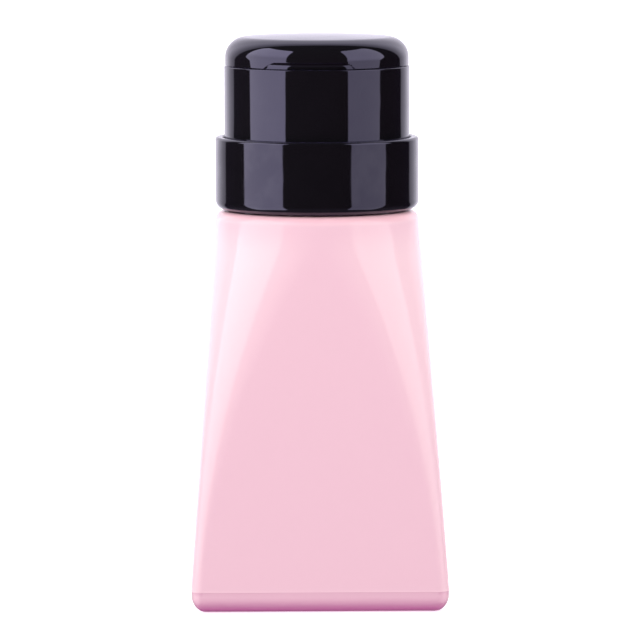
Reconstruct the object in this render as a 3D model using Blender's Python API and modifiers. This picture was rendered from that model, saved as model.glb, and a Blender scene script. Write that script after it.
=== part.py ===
"""Press-down pump bottle for nail polish remover, as separate pieces.

Lengths are metres and +Z is up. The origin is the middle of the foot's
underside. Outlines of turned pieces are (radius, height) corners, and a third
value rounds that corner.
"""
import math

import bmesh
import bpy
from mathutils import Vector

# Gaps that the fits share
SEAT_GAP = 0.0003
RUNNING_GAP = 0.00008
SLEEVE_GAP = 0.0001
CUT_OVERRUN = 0.002
WELD_OVERLAP = 0.0004
MERGE_DISTANCE = 0.000001

# Facets
FINE_STEPS = 44
MIDDLE_STEPS = 32
SMALL_STEPS = 20
PIN_STEPS = 16
TINY_STEPS = 8
ARCH_STEPS = 96
BARREL_STEPS = 10
CORNER_STEPS = 9
BODY_LEVELS = 10
INNER_LEVELS = 4
ROUND_LEVELS = 4
INNER_ROUND_LEVELS = 2
BALL_SEGMENTS = 12
ARC_STEP_ANGLE = math.radians(30)
SHARP_ANGLE = math.radians(35)

# Bottle body: a rounded square at the foot, a circle at the shoulder
BASE_WIDTH = 0.065
BODY_HEIGHT = 0.0993
BOTTLE_WALL = 0.0014
FOOT_ROUND = 0.0042
FOOT_CORNER_RADIUS = 0.003
SHOULDER_ROUND = 0.0026
LEAST_CORNER_RADIUS = 0.0005
PUSH_UP_HEIGHT = 0.001
PUSH_UP_SLOPE = 0.0015
STANDING_BAND = 0.0048
ROUND_FROM_SHARE = 0.96
ROUNDING_POWER = 2.3

# Neck and the turn that frees the collar from it
NECK_HEIGHT = 0.007
NECK_RADIUS = 0.0155
NECK_WALL = 0.0018
THREAD_HEIGHT = 0.001

# Screw collar
HEAD_SLIDE_GAP = 0.0004
COLLAR_HEIGHT = 0.0184
COLLAR_WALL = 0.0019
COLLAR_FOOT_ROUND = 0.0023
COLLAR_RIM_ROUND = 0.0007
COLLAR_RIM_INNER_ROUND = 0.0004
COLLAR_LIP_WIDTH = 0.001
COLLAR_LIP_HEIGHT = 0.0028
SKIRT_WALL = 0.0016
SKIRT_LIFT = 0.0008
WEB_THICKNESS = 0.0014
COLLAR_RIBS = 8
COLLAR_RIB_THICKNESS = 0.001
COLLAR_RIB_HEIGHT = 0.0055

# Gasket and pump housing
GASKET_THICKNESS = 0.001
GASKET_OVERHANG = 0.0004
FLANGE_THICKNESS = 0.0014
FLANGE_SKIRT_GAP = 0.0006
BORE_RADIUS = 0.006
CHAMBER_WALL = 0.0013
CHAMBER_DEPTH = 0.0263
CHAMBER_TAPER = 0.0032
CHAMBER_TOP_ROUND = 0.0008
WELL_RADIUS = 0.0031
WELL_DEPTH = 0.0008
INLET_RADIUS = 0.0014
INLET_LENGTH = 0.0012
INLET_SEAT_DEPTH = 0.002
SOCKET_DEPTH = 0.0055
SOCKET_WALL = 0.0014
BOSS_HEIGHT = 0.003
BOSS_WALL = 0.0013
COUNTERBORE_LEDGE = 0.0016
COUNTERBORE_DEPTH = 0.0004
VENT_RADIUS = 0.0005
VENT_DROP = 0.0042

# Housing cap and stem seal
CAP_DISC_THICKNESS = 0.0012
CAP_SPIGOT_LENGTH = 0.0026
CAP_SEAL_POCKET_DEPTH = 0.002
STEM_SEAL_WIDTH = 0.0011
STEM_SEAL_HEIGHT = 0.0013
CAP_WEB_GAP = 0.0004
CAP_EDGE_ROUND = 0.0003

# Inlet valve
INLET_BALL_RADIUS = 0.002
INLET_BALL_LIFT = 0.001
CAGE_FLANGE_THICKNESS = 0.0008
CAGE_WALL = 0.0013
CAGE_ROOF = 0.0009
CAGE_BALL_GAP = 0.0006
CAGE_ROOF_HOLE_RADIUS = 0.0011
CAGE_SLOT_WIDTH = 0.0011
CAGE_SLOT_HEIGHT = 0.0012

# Stem, piston core and piston
PRESS_STROKE = 0.005
STEM_RADIUS = 0.0033
STEM_BORE_RADIUS = 0.0015
STEM_STOP_WIDTH = 0.002
STEM_STOP_HEIGHT = 0.0015
STEM_SOCKET_DEPTH = 0.0022
STEM_SEAT_DEPTH = 0.0009
CORE_TUBE_RADIUS = 0.0024
CORE_BORE_RADIUS = 0.0012
CORE_FLANGE_RADIUS = 0.0052
CORE_FLANGE_THICKNESS = 0.0012
CORE_NUB_LENGTH = 0.0018
CORE_NUB_GAP = 0.0004
PISTON_HEIGHT = 0.006
PISTON_LIP_HEIGHT = 0.0012
PISTON_WAIST = 0.001

# Return spring
SPRING_WIRE_RADIUS = 0.0004
SPRING_RADIUS = 0.0046
SPRING_TURNS = 6
SPRING_END_PITCH = 0.00125
SPRING_POINTS_PER_TURN = 9
SPRING_BEVEL_RESOLUTION = 1

# Dip tube
TUBE_RADIUS = 0.0025
TUBE_WALL = 0.0008
TUBE_FLOOR_GAP = 0.0016
TUBE_CUT_ANGLE = math.radians(30)

# Pump head, turned a little on its stem
HEAD_TURN = math.radians(-6.5)
HEAD_RADIUS = 0.0236
HEAD_HEIGHT = 0.01945
HEAD_WALL = 0.0014
HEAD_WEB_CLEARANCE = 0.0006
HEAD_EDGE_ROUND = 0.0003
HEAD_LEDGE_WIDTH = 0.0016
HEAD_LEDGE_HEIGHT = 0.0013
HEAD_LEDGE_SLOPE = 0.0014

# Dish
DISH_FLANGE_THICKNESS = 0.0013
DISH_RIM_RISE = 0.0034
DISH_RIM_WALL = 0.0013
DISH_RIM_INSET = 0.0007
DISH_RIM_ROUND = 0.0004
DISH_BEAD = 0.0003
DISH_BEAD_SHARE = 0.6
DISH_FLOOR_THICKNESS = 0.0014
DISH_FLOOR_DROP = 0.0021
DISH_FLOOR_FALL = 0.001
DISH_CORNER_ROUND = 0.0018
DISH_RIBS = 6
DISH_RIB_THICKNESS = 0.001
DISH_RIB_DEPTH = 0.0045
HUB_WALL = 0.0022
HUB_STEM_LENGTH = 0.0068
NOZZLE_BOSS_WALL = 0.0014
NOZZLE_BOSS_RISE = 0.0018

# Outlet valve and nozzle
OUTLET_BALL_RADIUS = 0.0019
OUTLET_BALL_LIFT = 0.001
OUTLET_CAGE_GAP = 0.0007
NOZZLE_PLUG_RADIUS = 0.0032
NOZZLE_CAVITY_RADIUS = 0.002
NOZZLE_FLANGE_RADIUS = 0.0052
NOZZLE_FLANGE_THICKNESS = 0.0012
NOZZLE_TOP_WALL = 0.0014
NOZZLE_EDGE_ROUND = 0.0006
NOZZLE_HOLES = 4
NOZZLE_HOLE_RADIUS = 0.0004
NOZZLE_HOLE_CIRCLE = 0.0012

# Lid
LID_STEP = 0.0002
LID_HEIGHT = 0.00675
LID_CROWN = 0.00085
LID_CROWN_STEPS = 3
LID_WALL = 0.0015
LID_TOP_ROUND = 0.0052
LID_EDGE_ROUND = 0.0003
LID_BOSS_RADIUS = 0.006
LID_BOSS_WALL = 0.001
LID_BOSS_LENGTH = 0.0031
PLUG_EDGE_ROUND = 0.0005
NOTCH_WIDTH = 0.0232
NOTCH_HEIGHT = 0.0019
NOTCH_DEPTH = 0.0009

# Lid hinge, behind the head's wall
PIN_RADIUS = 0.0006
BARREL_RADIUS = 0.00145
BARREL_WALL_GAP = 0.00025
LID_KNUCKLE_WIDTH = 0.0066
HEAD_KNUCKLE_WIDTH = 0.0038
LEAF_HEIGHT = 0.0034
EAR_HEIGHT = 0.0047
LEAF_ROOT_DEPTH = 0.0008
EAR_ROOT_DEPTH = 0.0015
EAR_ARC = (math.radians(-50), math.radians(190))
KNUCKLE_ARC = (math.radians(165), math.radians(400))

# Sizes that follow from the ones above
NECK_TOP = BODY_HEIGHT + NECK_HEIGHT
NECK_BORE_RADIUS = NECK_RADIUS - NECK_WALL
COLLAR_BOTTOM = BODY_HEIGHT + SEAT_GAP
COLLAR_TOP = COLLAR_BOTTOM + COLLAR_HEIGHT
COLLAR_BORE_RADIUS = HEAD_RADIUS + HEAD_SLIDE_GAP
COLLAR_RADIUS = COLLAR_BORE_RADIUS + COLLAR_WALL
BODY_TOP_RADIUS = COLLAR_RADIUS
SKIRT_BORE_RADIUS = NECK_RADIUS + THREAD_HEIGHT + SEAT_GAP
SKIRT_RADIUS = SKIRT_BORE_RADIUS + SKIRT_WALL
GASKET_BOTTOM = NECK_TOP + SEAT_GAP
FLANGE_BOTTOM = GASKET_BOTTOM + GASKET_THICKNESS + SEAT_GAP
FLANGE_TOP = FLANGE_BOTTOM + FLANGE_THICKNESS
FLANGE_RADIUS = SKIRT_BORE_RADIUS - FLANGE_SKIRT_GAP
WEB_BOTTOM = FLANGE_TOP + SEAT_GAP
WEB_TOP = WEB_BOTTOM + WEB_THICKNESS
CHAMBER_FLOOR = FLANGE_TOP - CHAMBER_DEPTH
INLET_SEAT_TOP = CHAMBER_FLOOR - WELL_DEPTH
INLET_SEAT_BOTTOM = INLET_SEAT_TOP - INLET_SEAT_DEPTH
SOCKET_TOP = INLET_SEAT_BOTTOM - INLET_LENGTH
SOCKET_BOTTOM = SOCKET_TOP - SOCKET_DEPTH
SOCKET_BORE_RADIUS = TUBE_RADIUS + SLEEVE_GAP
COUNTERBORE_RADIUS = BORE_RADIUS + COUNTERBORE_LEDGE
COUNTERBORE_FLOOR = FLANGE_TOP - COUNTERBORE_DEPTH
BOSS_RADIUS = COUNTERBORE_RADIUS + BOSS_WALL
BOSS_TOP = FLANGE_TOP + BOSS_HEIGHT
CAP_BOTTOM = COUNTERBORE_FLOOR + SEAT_GAP - CAP_SPIGOT_LENGTH
CAP_DISC_BOTTOM = BOSS_TOP + SEAT_GAP
CAP_TOP = CAP_DISC_BOTTOM + CAP_DISC_THICKNESS
GUIDE_RADIUS = STEM_RADIUS + RUNNING_GAP
SEAL_RADIUS = GUIDE_RADIUS + STEM_SEAL_WIDTH
SEAL_TOP = CAP_BOTTOM + CAP_SEAL_POCKET_DEPTH - SEAT_GAP
CAGE_BOTTOM = CHAMBER_FLOOR + SEAT_GAP
CAGE_FLANGE_TOP = CAGE_BOTTOM + CAGE_FLANGE_THICKNESS
STEM_STOP_TOP = CAP_BOTTOM - SEAT_GAP
STEM_BOTTOM = STEM_STOP_TOP - STEM_STOP_HEIGHT
PISTON_TOP = STEM_BOTTOM - SEAT_GAP
PISTON_BOTTOM = PISTON_TOP - PISTON_HEIGHT
CORE_FLANGE_TOP = PISTON_BOTTOM - SEAT_GAP
CORE_FLANGE_BOTTOM = CORE_FLANGE_TOP - CORE_FLANGE_THICKNESS
HEAD_BOTTOM = WEB_TOP + HEAD_WEB_CLEARANCE + PRESS_STROKE
HEAD_TOP = HEAD_BOTTOM + HEAD_HEIGHT
HEAD_BORE_RADIUS = HEAD_RADIUS - HEAD_WALL
LID_BOTTOM = HEAD_TOP + SEAT_GAP
LID_TOP = LID_BOTTOM + LID_HEIGHT
LID_RADIUS = HEAD_RADIUS - LID_STEP
DISH_FLANGE_TOP = HEAD_TOP
DISH_FLANGE_BOTTOM = DISH_FLANGE_TOP - DISH_FLANGE_THICKNESS
DISH_FLANGE_RADIUS = HEAD_BORE_RADIUS - SEAT_GAP
LEDGE_TOP = DISH_FLANGE_BOTTOM - SEAT_GAP
LEDGE_RADIUS = HEAD_BORE_RADIUS - HEAD_LEDGE_WIDTH
DISH_RIM_RADIUS = LID_RADIUS - LID_WALL - DISH_RIM_INSET
DISH_RIM_TOP = DISH_FLANGE_TOP + DISH_RIM_RISE
DISH_INNER_RADIUS = DISH_RIM_RADIUS - DISH_RIM_WALL
DISH_EDGE_FLOOR = DISH_FLANGE_TOP - DISH_FLOOR_DROP + DISH_FLOOR_FALL
DISH_MIDDLE_FLOOR = DISH_EDGE_FLOOR - DISH_FLOOR_FALL
HUB_RADIUS = STEM_RADIUS + SLEEVE_GAP + HUB_WALL
HUB_BOTTOM = CAP_TOP + PRESS_STROKE + HEAD_WEB_CLEARANCE
STEM_TOP = HUB_BOTTOM + HUB_STEM_LENGTH
NOZZLE_BORE_RADIUS = NOZZLE_PLUG_RADIUS + SLEEVE_GAP
NOZZLE_SEAT = DISH_MIDDLE_FLOOR + NOZZLE_BOSS_RISE
NOZZLE_TOP = NOZZLE_SEAT + SEAT_GAP + NOZZLE_FLANGE_THICKNESS
LID_CEILING = LID_TOP - LID_WALL
LID_BORE_RADIUS = LID_RADIUS - LID_WALL
HINGE_Y = HEAD_RADIUS + BARREL_WALL_GAP + BARREL_RADIUS
HINGE_Z = (HEAD_TOP + LID_BOTTOM) / 2
PIN_BORE_RADIUS = PIN_RADIUS + RUNNING_GAP
HINGE_HALF_WIDTH = LID_KNUCKLE_WIDTH / 2 + SEAT_GAP + HEAD_KNUCKLE_WIDTH

# Finishes: colour, roughness and metallic value
PINK_PLASTIC = ((0.914, 0.600, 0.686), 0.18, 0.0)
BLACK_GLOSS = ((0.010, 0.010, 0.012), 0.07, 0.0)
BLACK_SATIN = ((0.010, 0.010, 0.012), 0.30, 0.0)
MILKY_PLASTIC = ((0.850, 0.860, 0.850), 0.35, 0.0)
STEEL = ((0.620, 0.630, 0.650), 0.22, 1.0)
GREY_RUBBER = ((0.090, 0.090, 0.095), 0.60, 0.0)


def clear_scene():
    """Removes everything that the scene holds."""
    for item in list(bpy.data.objects):
        bpy.data.objects.remove(item)


def new_collection(name):
    """Adds a collection to the scene."""
    collection = bpy.data.collections.new(name)
    bpy.context.scene.collection.children.link(collection)
    return collection


def new_material(name, colour, roughness, metallic):
    """Makes a Principled material."""
    material = bpy.data.materials.new(name)
    material.use_nodes = True
    shader = material.node_tree.nodes["Principled BSDF"]
    shader.inputs["Base Color"].default_value = (*colour, 1.0)
    shader.inputs["Roughness"].default_value = roughness
    shader.inputs["Metallic"].default_value = metallic
    return material


def add_object(name, data, collection, parent=None):
    """Adds an object with this mesh or curve."""
    item = bpy.data.objects.new(name, data)
    collection.objects.link(item)
    item.parent = parent
    return item


def dress(item, finish):
    """Gives a piece its own material."""
    item.data.materials.append(new_material(item.name + "_finish", *finish))
    return item


def hide_guide(item):
    """Shows a cutter or a joined shape as a wire only."""
    item.hide_render = True
    item.display_type = "WIRE"
    return item


def rounded(corners, closed):
    """Returns an outline's points, with an arc at each corner that has a radius."""
    points = []
    count = len(corners)
    for index, corner in enumerate(corners):
        here = Vector(corner[:2])
        at_end = not closed and index in (0, count - 1)
        if len(corner) == 2 or at_end:
            points.append(here)
            continue
        radius = corner[2]
        before = (Vector(corners[index - 1][:2]) - here).normalized()
        after = (Vector(corners[(index + 1) % count][:2]) - here).normalized()
        half = before.angle(after) / 2
        sweep = math.pi - 2 * half
        centre = here + (before + after).normalized() * (radius / math.sin(half))
        start = here + before * (radius / math.tan(half)) - centre
        end = here + after * (radius / math.tan(half)) - centre
        steps = max(2, round(sweep / ARC_STEP_ANGLE))
        for step in range(steps + 1):
            turn = sweep * step / steps
            blend = start * math.sin(sweep - turn) + end * math.sin(turn)
            points.append(centre + blend / math.sin(sweep))
    return points


def turned(name, corners, steps, collection, parent=None, closed=True):
    """Turns an outline about Z. It runs down the outer side and up the inner one."""
    points = rounded(corners, closed)
    last = len(points)
    edges = [(index, index + 1) for index in range(last - 1)]
    if closed:
        edges.append((last - 1, 0))
    mesh = bpy.data.meshes.new(name)
    mesh.from_pydata([(point.x, 0, point.y) for point in points], edges, [])
    item = add_object(name, mesh, collection, parent)
    screw = item.modifiers.new("Turn", "SCREW")
    screw.axis = "Z"
    screw.angle = math.tau
    screw.steps = steps
    screw.render_steps = steps
    screw.use_merge_vertices = True
    screw.merge_threshold = MERGE_DISTANCE
    screw.use_smooth_shade = True
    return item


def mesh_object(name, build, collection, parent=None):
    """Makes an object from a bmesh that the given function fills."""
    body = bmesh.new()
    build(body)
    mesh = bpy.data.meshes.new(name)
    body.to_mesh(mesh)
    body.free()
    return add_object(name, mesh, collection, parent)


def extruded(name, outline, low, high, collection, parent=None):
    """Extrudes a (y, z) outline along X from low to high."""
    def build(body):
        face = body.faces.new([body.verts.new((low, y, z)) for y, z in outline])
        grown = bmesh.ops.extrude_face_region(body, geom=[face])["geom"]
        moved = [part for part in grown if isinstance(part, bmesh.types.BMVert)]
        bmesh.ops.translate(body, verts=moved, vec=(high - low, 0, 0))
        bmesh.ops.recalc_face_normals(body, faces=body.faces)
    return hide_guide(mesh_object(name, build, collection, parent))


def rod(name, radius, low, high, place, along, steps, collection, parent=None):
    """Adds a cylinder that runs from low to high along X, Y or Z."""
    def build(body):
        bmesh.ops.create_cone(body, cap_ends=True, segments=steps, radius1=radius,
                              radius2=radius, depth=high - low)
        bmesh.ops.translate(body, verts=body.verts, vec=(0, 0, (high + low) / 2))
    item = mesh_object(name, build, collection, parent)
    item.location = place
    item.rotation_euler = {"X": (0, math.pi / 2, 0), "Y": (-math.pi / 2, 0, 0), "Z": (0, 0, 0)}[along]
    return item


def block(name, low, high, turn, collection, parent=None):
    """Adds a box between two corners, turned about Z."""
    def build(body):
        bmesh.ops.create_cube(body, size=1)
        size = [top - bottom for bottom, top in zip(low, high)]
        middle = [(top + bottom) / 2 for bottom, top in zip(low, high)]
        bmesh.ops.scale(body, verts=body.verts, vec=size)
        bmesh.ops.translate(body, verts=body.verts, vec=middle)
    item = hide_guide(mesh_object(name, build, collection, parent))
    item.rotation_euler = (0, 0, turn)
    return item


def combine(item, other, operation):
    """Adds an exact Boolean with another object."""
    boolean = item.modifiers.new(operation.title() + " " + other.name, "BOOLEAN")
    boolean.operation = operation
    boolean.solver = "EXACT"
    boolean.object = other
    hide_guide(other)
    return item


def ball(name, radius, height, collection, parent=None):
    """Adds a ball with its centre on the axis."""
    def build(body):
        bmesh.ops.create_uvsphere(body, u_segments=BALL_SEGMENTS, v_segments=BALL_SEGMENTS // 2,
                                  radius=radius)
    item = mesh_object(name, build, collection, parent)
    item.location = (0, 0, height)
    item.data.shade_smooth()
    return item


def ball_rest(radius, bore, slope, bottom):
    """Returns the centre height of a ball on a conical seat that opens upward."""
    lean = math.atan(slope)
    reach = (radius + RUNNING_GAP / 2) / math.cos(lean)
    return bottom + (reach - bore) / slope


def corner_radius(share, half_width):
    """Returns the body's corner radius at a share of its straight height."""
    eased = min(share / ROUND_FROM_SHARE, 1) ** ROUNDING_POWER
    return FOOT_CORNER_RADIUS + (half_width - FOOT_CORNER_RADIUS) * eased


def body_level(share, inset):
    """Returns half width, corner radius and height of the body's straight part."""
    half_width = BASE_WIDTH / 2 + (BODY_TOP_RADIUS - BASE_WIDTH / 2) * share
    corner = corner_radius(share, half_width)
    height = FOOT_ROUND + (BODY_HEIGHT - SHOULDER_ROUND - FOOT_ROUND) * share
    return half_width - inset, max(corner - inset, LEAST_CORNER_RADIUS), height


def foot_levels(inset, steps):
    """Returns the levels of the roundover at the foot, from below up to the side."""
    half_width, corner, height = body_level(0, 0)
    round_radius = FOOT_ROUND - inset
    levels = []
    for step in range(steps):
        angle = math.pi / 2 * (1 - step / steps)
        side = half_width - inset - round_radius * (1 - math.cos(angle))
        tight = max(corner - half_width + side, LEAST_CORNER_RADIUS)
        levels.append((side, tight, height - round_radius * math.sin(angle)))
    return levels


def shoulder_levels(inset, steps):
    """Returns the levels of the shoulder's roundover, from the side up to the top."""
    radius = BODY_TOP_RADIUS - SHOULDER_ROUND
    round_radius = SHOULDER_ROUND - inset
    levels = []
    for step in range(1, steps + 1):
        angle = math.pi / 2 * step / steps
        side = radius + round_radius * math.cos(angle)
        height = BODY_HEIGHT - SHOULDER_ROUND + round_radius * math.sin(angle)
        levels.append((side, side, height))
    return levels


def section_ring(body, half_width, corner, height):
    """Adds the points of a square section with rounded corners."""
    ring = []
    for quarter in range(4):
        middle = Vector((half_width - corner, half_width - corner))
        for step in range(CORNER_STEPS):
            angle = math.pi / 2 * (step + 0.5) / CORNER_STEPS
            point = middle + Vector((math.cos(angle), math.sin(angle))) * corner
            for _ in range(quarter):
                point = Vector((-point.y, point.x))
            ring.append(body.verts.new((point.x, point.y, height)))
    return ring


def make_bottle(collection):
    """Lofts the hollow bottle through its sections, from the underside to its inner floor."""
    base_half = BASE_WIDTH / 2 - FOOT_ROUND
    recess_half = base_half - STANDING_BAND
    floor_corner = LEAST_CORNER_RADIUS
    raised_half = recess_half - PUSH_UP_SLOPE
    outside = [(raised_half, floor_corner, PUSH_UP_HEIGHT), (recess_half, floor_corner, 0)]
    outside += foot_levels(0, ROUND_LEVELS)
    outside += [body_level(step / BODY_LEVELS, 0) for step in range(BODY_LEVELS + 1)]
    outside += shoulder_levels(0, ROUND_LEVELS)
    neck = [
        (NECK_RADIUS, NECK_RADIUS, BODY_HEIGHT),
        (NECK_RADIUS, NECK_RADIUS, NECK_TOP),
        (NECK_BORE_RADIUS, NECK_BORE_RADIUS, NECK_TOP),
        (NECK_BORE_RADIUS, NECK_BORE_RADIUS, BODY_HEIGHT - BOTTLE_WALL),
    ]
    inside = [(raised_half, floor_corner, BOTTLE_WALL + PUSH_UP_HEIGHT)]
    inside.append((recess_half, floor_corner, BOTTLE_WALL))
    inside += foot_levels(BOTTLE_WALL, INNER_ROUND_LEVELS)
    inside += [body_level(step / INNER_LEVELS, BOTTLE_WALL) for step in range(INNER_LEVELS + 1)]
    inside += shoulder_levels(BOTTLE_WALL, INNER_ROUND_LEVELS)

    def build(body):
        rings = [section_ring(body, *level) for level in outside + neck + inside[::-1]]
        for lower, upper in zip(rings, rings[1:]):
            for index, point in enumerate(lower):
                after = (index + 1) % len(lower)
                body.faces.new((point, lower[after], upper[after], upper[index]))
        body.faces.new(rings[0][::-1])
        body.faces.new(rings[-1])

    bottle = mesh_object("bottle", build, collection)
    bottle.data.shade_smooth()
    bottle.data.set_sharp_from_angle(angle=SHARP_ANGLE)
    return dress(bottle, PINK_PLASTIC)


def make_collar(collection, guides):
    """Makes the screw collar with its rim, web, threaded skirt and ribs."""
    inner_foot = COLLAR_RADIUS - COLLAR_FOOT_ROUND - COLLAR_LIP_WIDTH
    skirt_bottom = COLLAR_BOTTOM + SKIRT_LIFT
    web_bore = BOSS_RADIUS + CAP_WEB_GAP
    collar = turned("screw_collar", [
        (COLLAR_RADIUS, COLLAR_TOP, COLLAR_RIM_ROUND),
        (COLLAR_RADIUS, COLLAR_BOTTOM, COLLAR_FOOT_ROUND),
        (inner_foot, COLLAR_BOTTOM),
        (COLLAR_BORE_RADIUS, COLLAR_BOTTOM + COLLAR_LIP_HEIGHT),
        (COLLAR_BORE_RADIUS, WEB_BOTTOM),
        (SKIRT_RADIUS, WEB_BOTTOM),
        (SKIRT_RADIUS, skirt_bottom),
        (SKIRT_BORE_RADIUS, skirt_bottom),
        (SKIRT_BORE_RADIUS, WEB_BOTTOM),
        (web_bore, WEB_BOTTOM),
        (web_bore, WEB_TOP),
        (COLLAR_BORE_RADIUS, WEB_TOP),
        (COLLAR_BORE_RADIUS, COLLAR_TOP, COLLAR_RIM_INNER_ROUND),
    ], FINE_STEPS, collection)
    ribs = mesh_ribs("collar_ribs", COLLAR_RIBS, COLLAR_RIB_THICKNESS, [
        (SKIRT_RADIUS - WELD_OVERLAP, WEB_BOTTOM + WELD_OVERLAP),
        (SKIRT_RADIUS - WELD_OVERLAP, WEB_BOTTOM - COLLAR_RIB_HEIGHT),
        (COLLAR_BORE_RADIUS + WELD_OVERLAP, WEB_BOTTOM - COLLAR_RIB_HEIGHT),
        (COLLAR_BORE_RADIUS + WELD_OVERLAP, WEB_BOTTOM + WELD_OVERLAP),
    ], guides)
    combine(collar, ribs, "UNION")
    return dress(collar, BLACK_GLOSS)


def mesh_ribs(name, count, thickness, outline, collection, parent=None):
    """Makes flat ribs that stand round the axis, from a (radius, height) outline."""
    def build(body):
        for index in range(count):
            angle = math.tau * (index + 0.5) / count
            along = Vector((math.cos(angle), math.sin(angle), 0))
            across = Vector((-math.sin(angle), math.cos(angle), 0)) * (thickness / 2)
            sides = []
            for side in (-1, 1):
                sides.append([
                    body.verts.new(along * radius + across * side + Vector((0, 0, height)))
                    for radius, height in outline
                ])
            body.faces.new(sides[0])
            body.faces.new(sides[1][::-1])
            for first, lower in enumerate(sides[0]):
                after = (first + 1) % len(outline)
                body.faces.new((sides[0][after], lower, sides[1][first], sides[1][after]))
        bmesh.ops.recalc_face_normals(body, faces=body.faces)
    return hide_guide(mesh_object(name, build, collection, parent))


def make_gasket(collection):
    """Makes the flat ring between the neck and the pump's flange."""
    inner = NECK_BORE_RADIUS
    outer = NECK_RADIUS + GASKET_OVERHANG
    top = GASKET_BOTTOM + GASKET_THICKNESS
    corners = [(outer, top), (outer, GASKET_BOTTOM), (inner, GASKET_BOTTOM), (inner, top)]
    return dress(turned("neck_gasket", corners, MIDDLE_STEPS, collection), GREY_RUBBER)


def make_housing(collection, guides):
    """Makes the pump's flange, chamber, inlet seat and tube socket in one piece."""
    chamber_radius = BORE_RADIUS + CHAMBER_WALL
    socket_radius = SOCKET_BORE_RADIUS + SOCKET_WALL
    housing = turned("pump_housing", [
        (BOSS_RADIUS, BOSS_TOP),
        (BOSS_RADIUS, FLANGE_TOP),
        (FLANGE_RADIUS, FLANGE_TOP),
        (FLANGE_RADIUS, FLANGE_BOTTOM),
        (chamber_radius, FLANGE_BOTTOM, CHAMBER_TOP_ROUND),
        (chamber_radius, CHAMBER_FLOOR),
        (socket_radius, CHAMBER_FLOOR - CHAMBER_TAPER),
        (socket_radius, SOCKET_BOTTOM),
        (SOCKET_BORE_RADIUS, SOCKET_BOTTOM),
        (SOCKET_BORE_RADIUS, SOCKET_TOP),
        (INLET_RADIUS, SOCKET_TOP),
        (INLET_RADIUS, INLET_SEAT_BOTTOM),
        (WELL_RADIUS, INLET_SEAT_TOP),
        (WELL_RADIUS, CHAMBER_FLOOR),
        (BORE_RADIUS, CHAMBER_FLOOR),
        (BORE_RADIUS, COUNTERBORE_FLOOR),
        (COUNTERBORE_RADIUS, COUNTERBORE_FLOOR),
        (COUNTERBORE_RADIUS, BOSS_TOP),
    ], SMALL_STEPS, collection)
    vent = rod("vent_cutter", VENT_RADIUS, BORE_RADIUS - CUT_OVERRUN, chamber_radius + CUT_OVERRUN,
               (0, 0, FLANGE_BOTTOM - VENT_DROP), "X", TINY_STEPS, guides)
    combine(housing, vent, "DIFFERENCE")
    return dress(housing, MILKY_PLASTIC)


def make_housing_cap(collection):
    """Makes the bush that closes the chamber and guides the stem."""
    spigot_radius = BORE_RADIUS - SEAT_GAP
    shoulder_radius = COUNTERBORE_RADIUS - SEAT_GAP
    pocket_radius = SEAL_RADIUS + SEAT_GAP
    pocket_top = CAP_BOTTOM + CAP_SEAL_POCKET_DEPTH
    cap = turned("housing_cap", [
        (BOSS_RADIUS, CAP_TOP, CAP_EDGE_ROUND),
        (BOSS_RADIUS, CAP_DISC_BOTTOM),
        (shoulder_radius, CAP_DISC_BOTTOM),
        (shoulder_radius, COUNTERBORE_FLOOR + SEAT_GAP),
        (spigot_radius, COUNTERBORE_FLOOR + SEAT_GAP),
        (spigot_radius, CAP_BOTTOM),
        (pocket_radius, CAP_BOTTOM),
        (pocket_radius, pocket_top),
        (GUIDE_RADIUS, pocket_top),
        (GUIDE_RADIUS, CAP_TOP),
    ], SMALL_STEPS, collection)
    return dress(cap, MILKY_PLASTIC)


def make_stem_seal(collection):
    """Makes the ring that wipes the stem."""
    bottom = SEAL_TOP - STEM_SEAL_HEIGHT
    seal = turned("stem_seal", [
        (SEAL_RADIUS, SEAL_TOP),
        (SEAL_RADIUS, bottom),
        (GUIDE_RADIUS, bottom),
        (GUIDE_RADIUS, SEAL_TOP),
    ], SMALL_STEPS, collection)
    return dress(seal, GREY_RUBBER)


def make_inlet_valve(collection, guides):
    """Makes the inlet ball and the slotted cage that also carries the spring."""
    slope = (WELL_RADIUS - INLET_RADIUS) / INLET_SEAT_DEPTH
    rest = ball_rest(INLET_BALL_RADIUS, INLET_RADIUS, slope, INLET_SEAT_BOTTOM)
    inlet_ball = ball("inlet_ball", INLET_BALL_RADIUS, rest, collection)
    dress(inlet_ball, STEEL)
    inner = INLET_BALL_RADIUS + CAGE_BALL_GAP
    outer = inner + CAGE_WALL
    ceiling = rest + INLET_BALL_RADIUS + INLET_BALL_LIFT + SEAT_GAP
    cage = turned("ball_cage", [
        (outer, ceiling + CAGE_ROOF),
        (outer, CAGE_FLANGE_TOP),
        (BORE_RADIUS - SEAT_GAP, CAGE_FLANGE_TOP),
        (BORE_RADIUS - SEAT_GAP, CAGE_BOTTOM),
        (inner, CAGE_BOTTOM),
        (inner, ceiling),
        (CAGE_ROOF_HOLE_RADIUS, ceiling),
        (CAGE_ROOF_HOLE_RADIUS, ceiling + CAGE_ROOF),
    ], SMALL_STEPS, collection)
    reach = outer + CUT_OVERRUN
    for index in range(2):
        low = (-reach, -CAGE_SLOT_WIDTH / 2, ceiling - CAGE_SLOT_HEIGHT)
        high = (reach, CAGE_SLOT_WIDTH / 2, ceiling + CAGE_ROOF / 2)
        slot = block(f"cage_slot_cutter_{index + 1}", low, high, math.pi / 2 * index, guides)
        combine(cage, slot, "DIFFERENCE")
    dress(cage, MILKY_PLASTIC)


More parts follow.
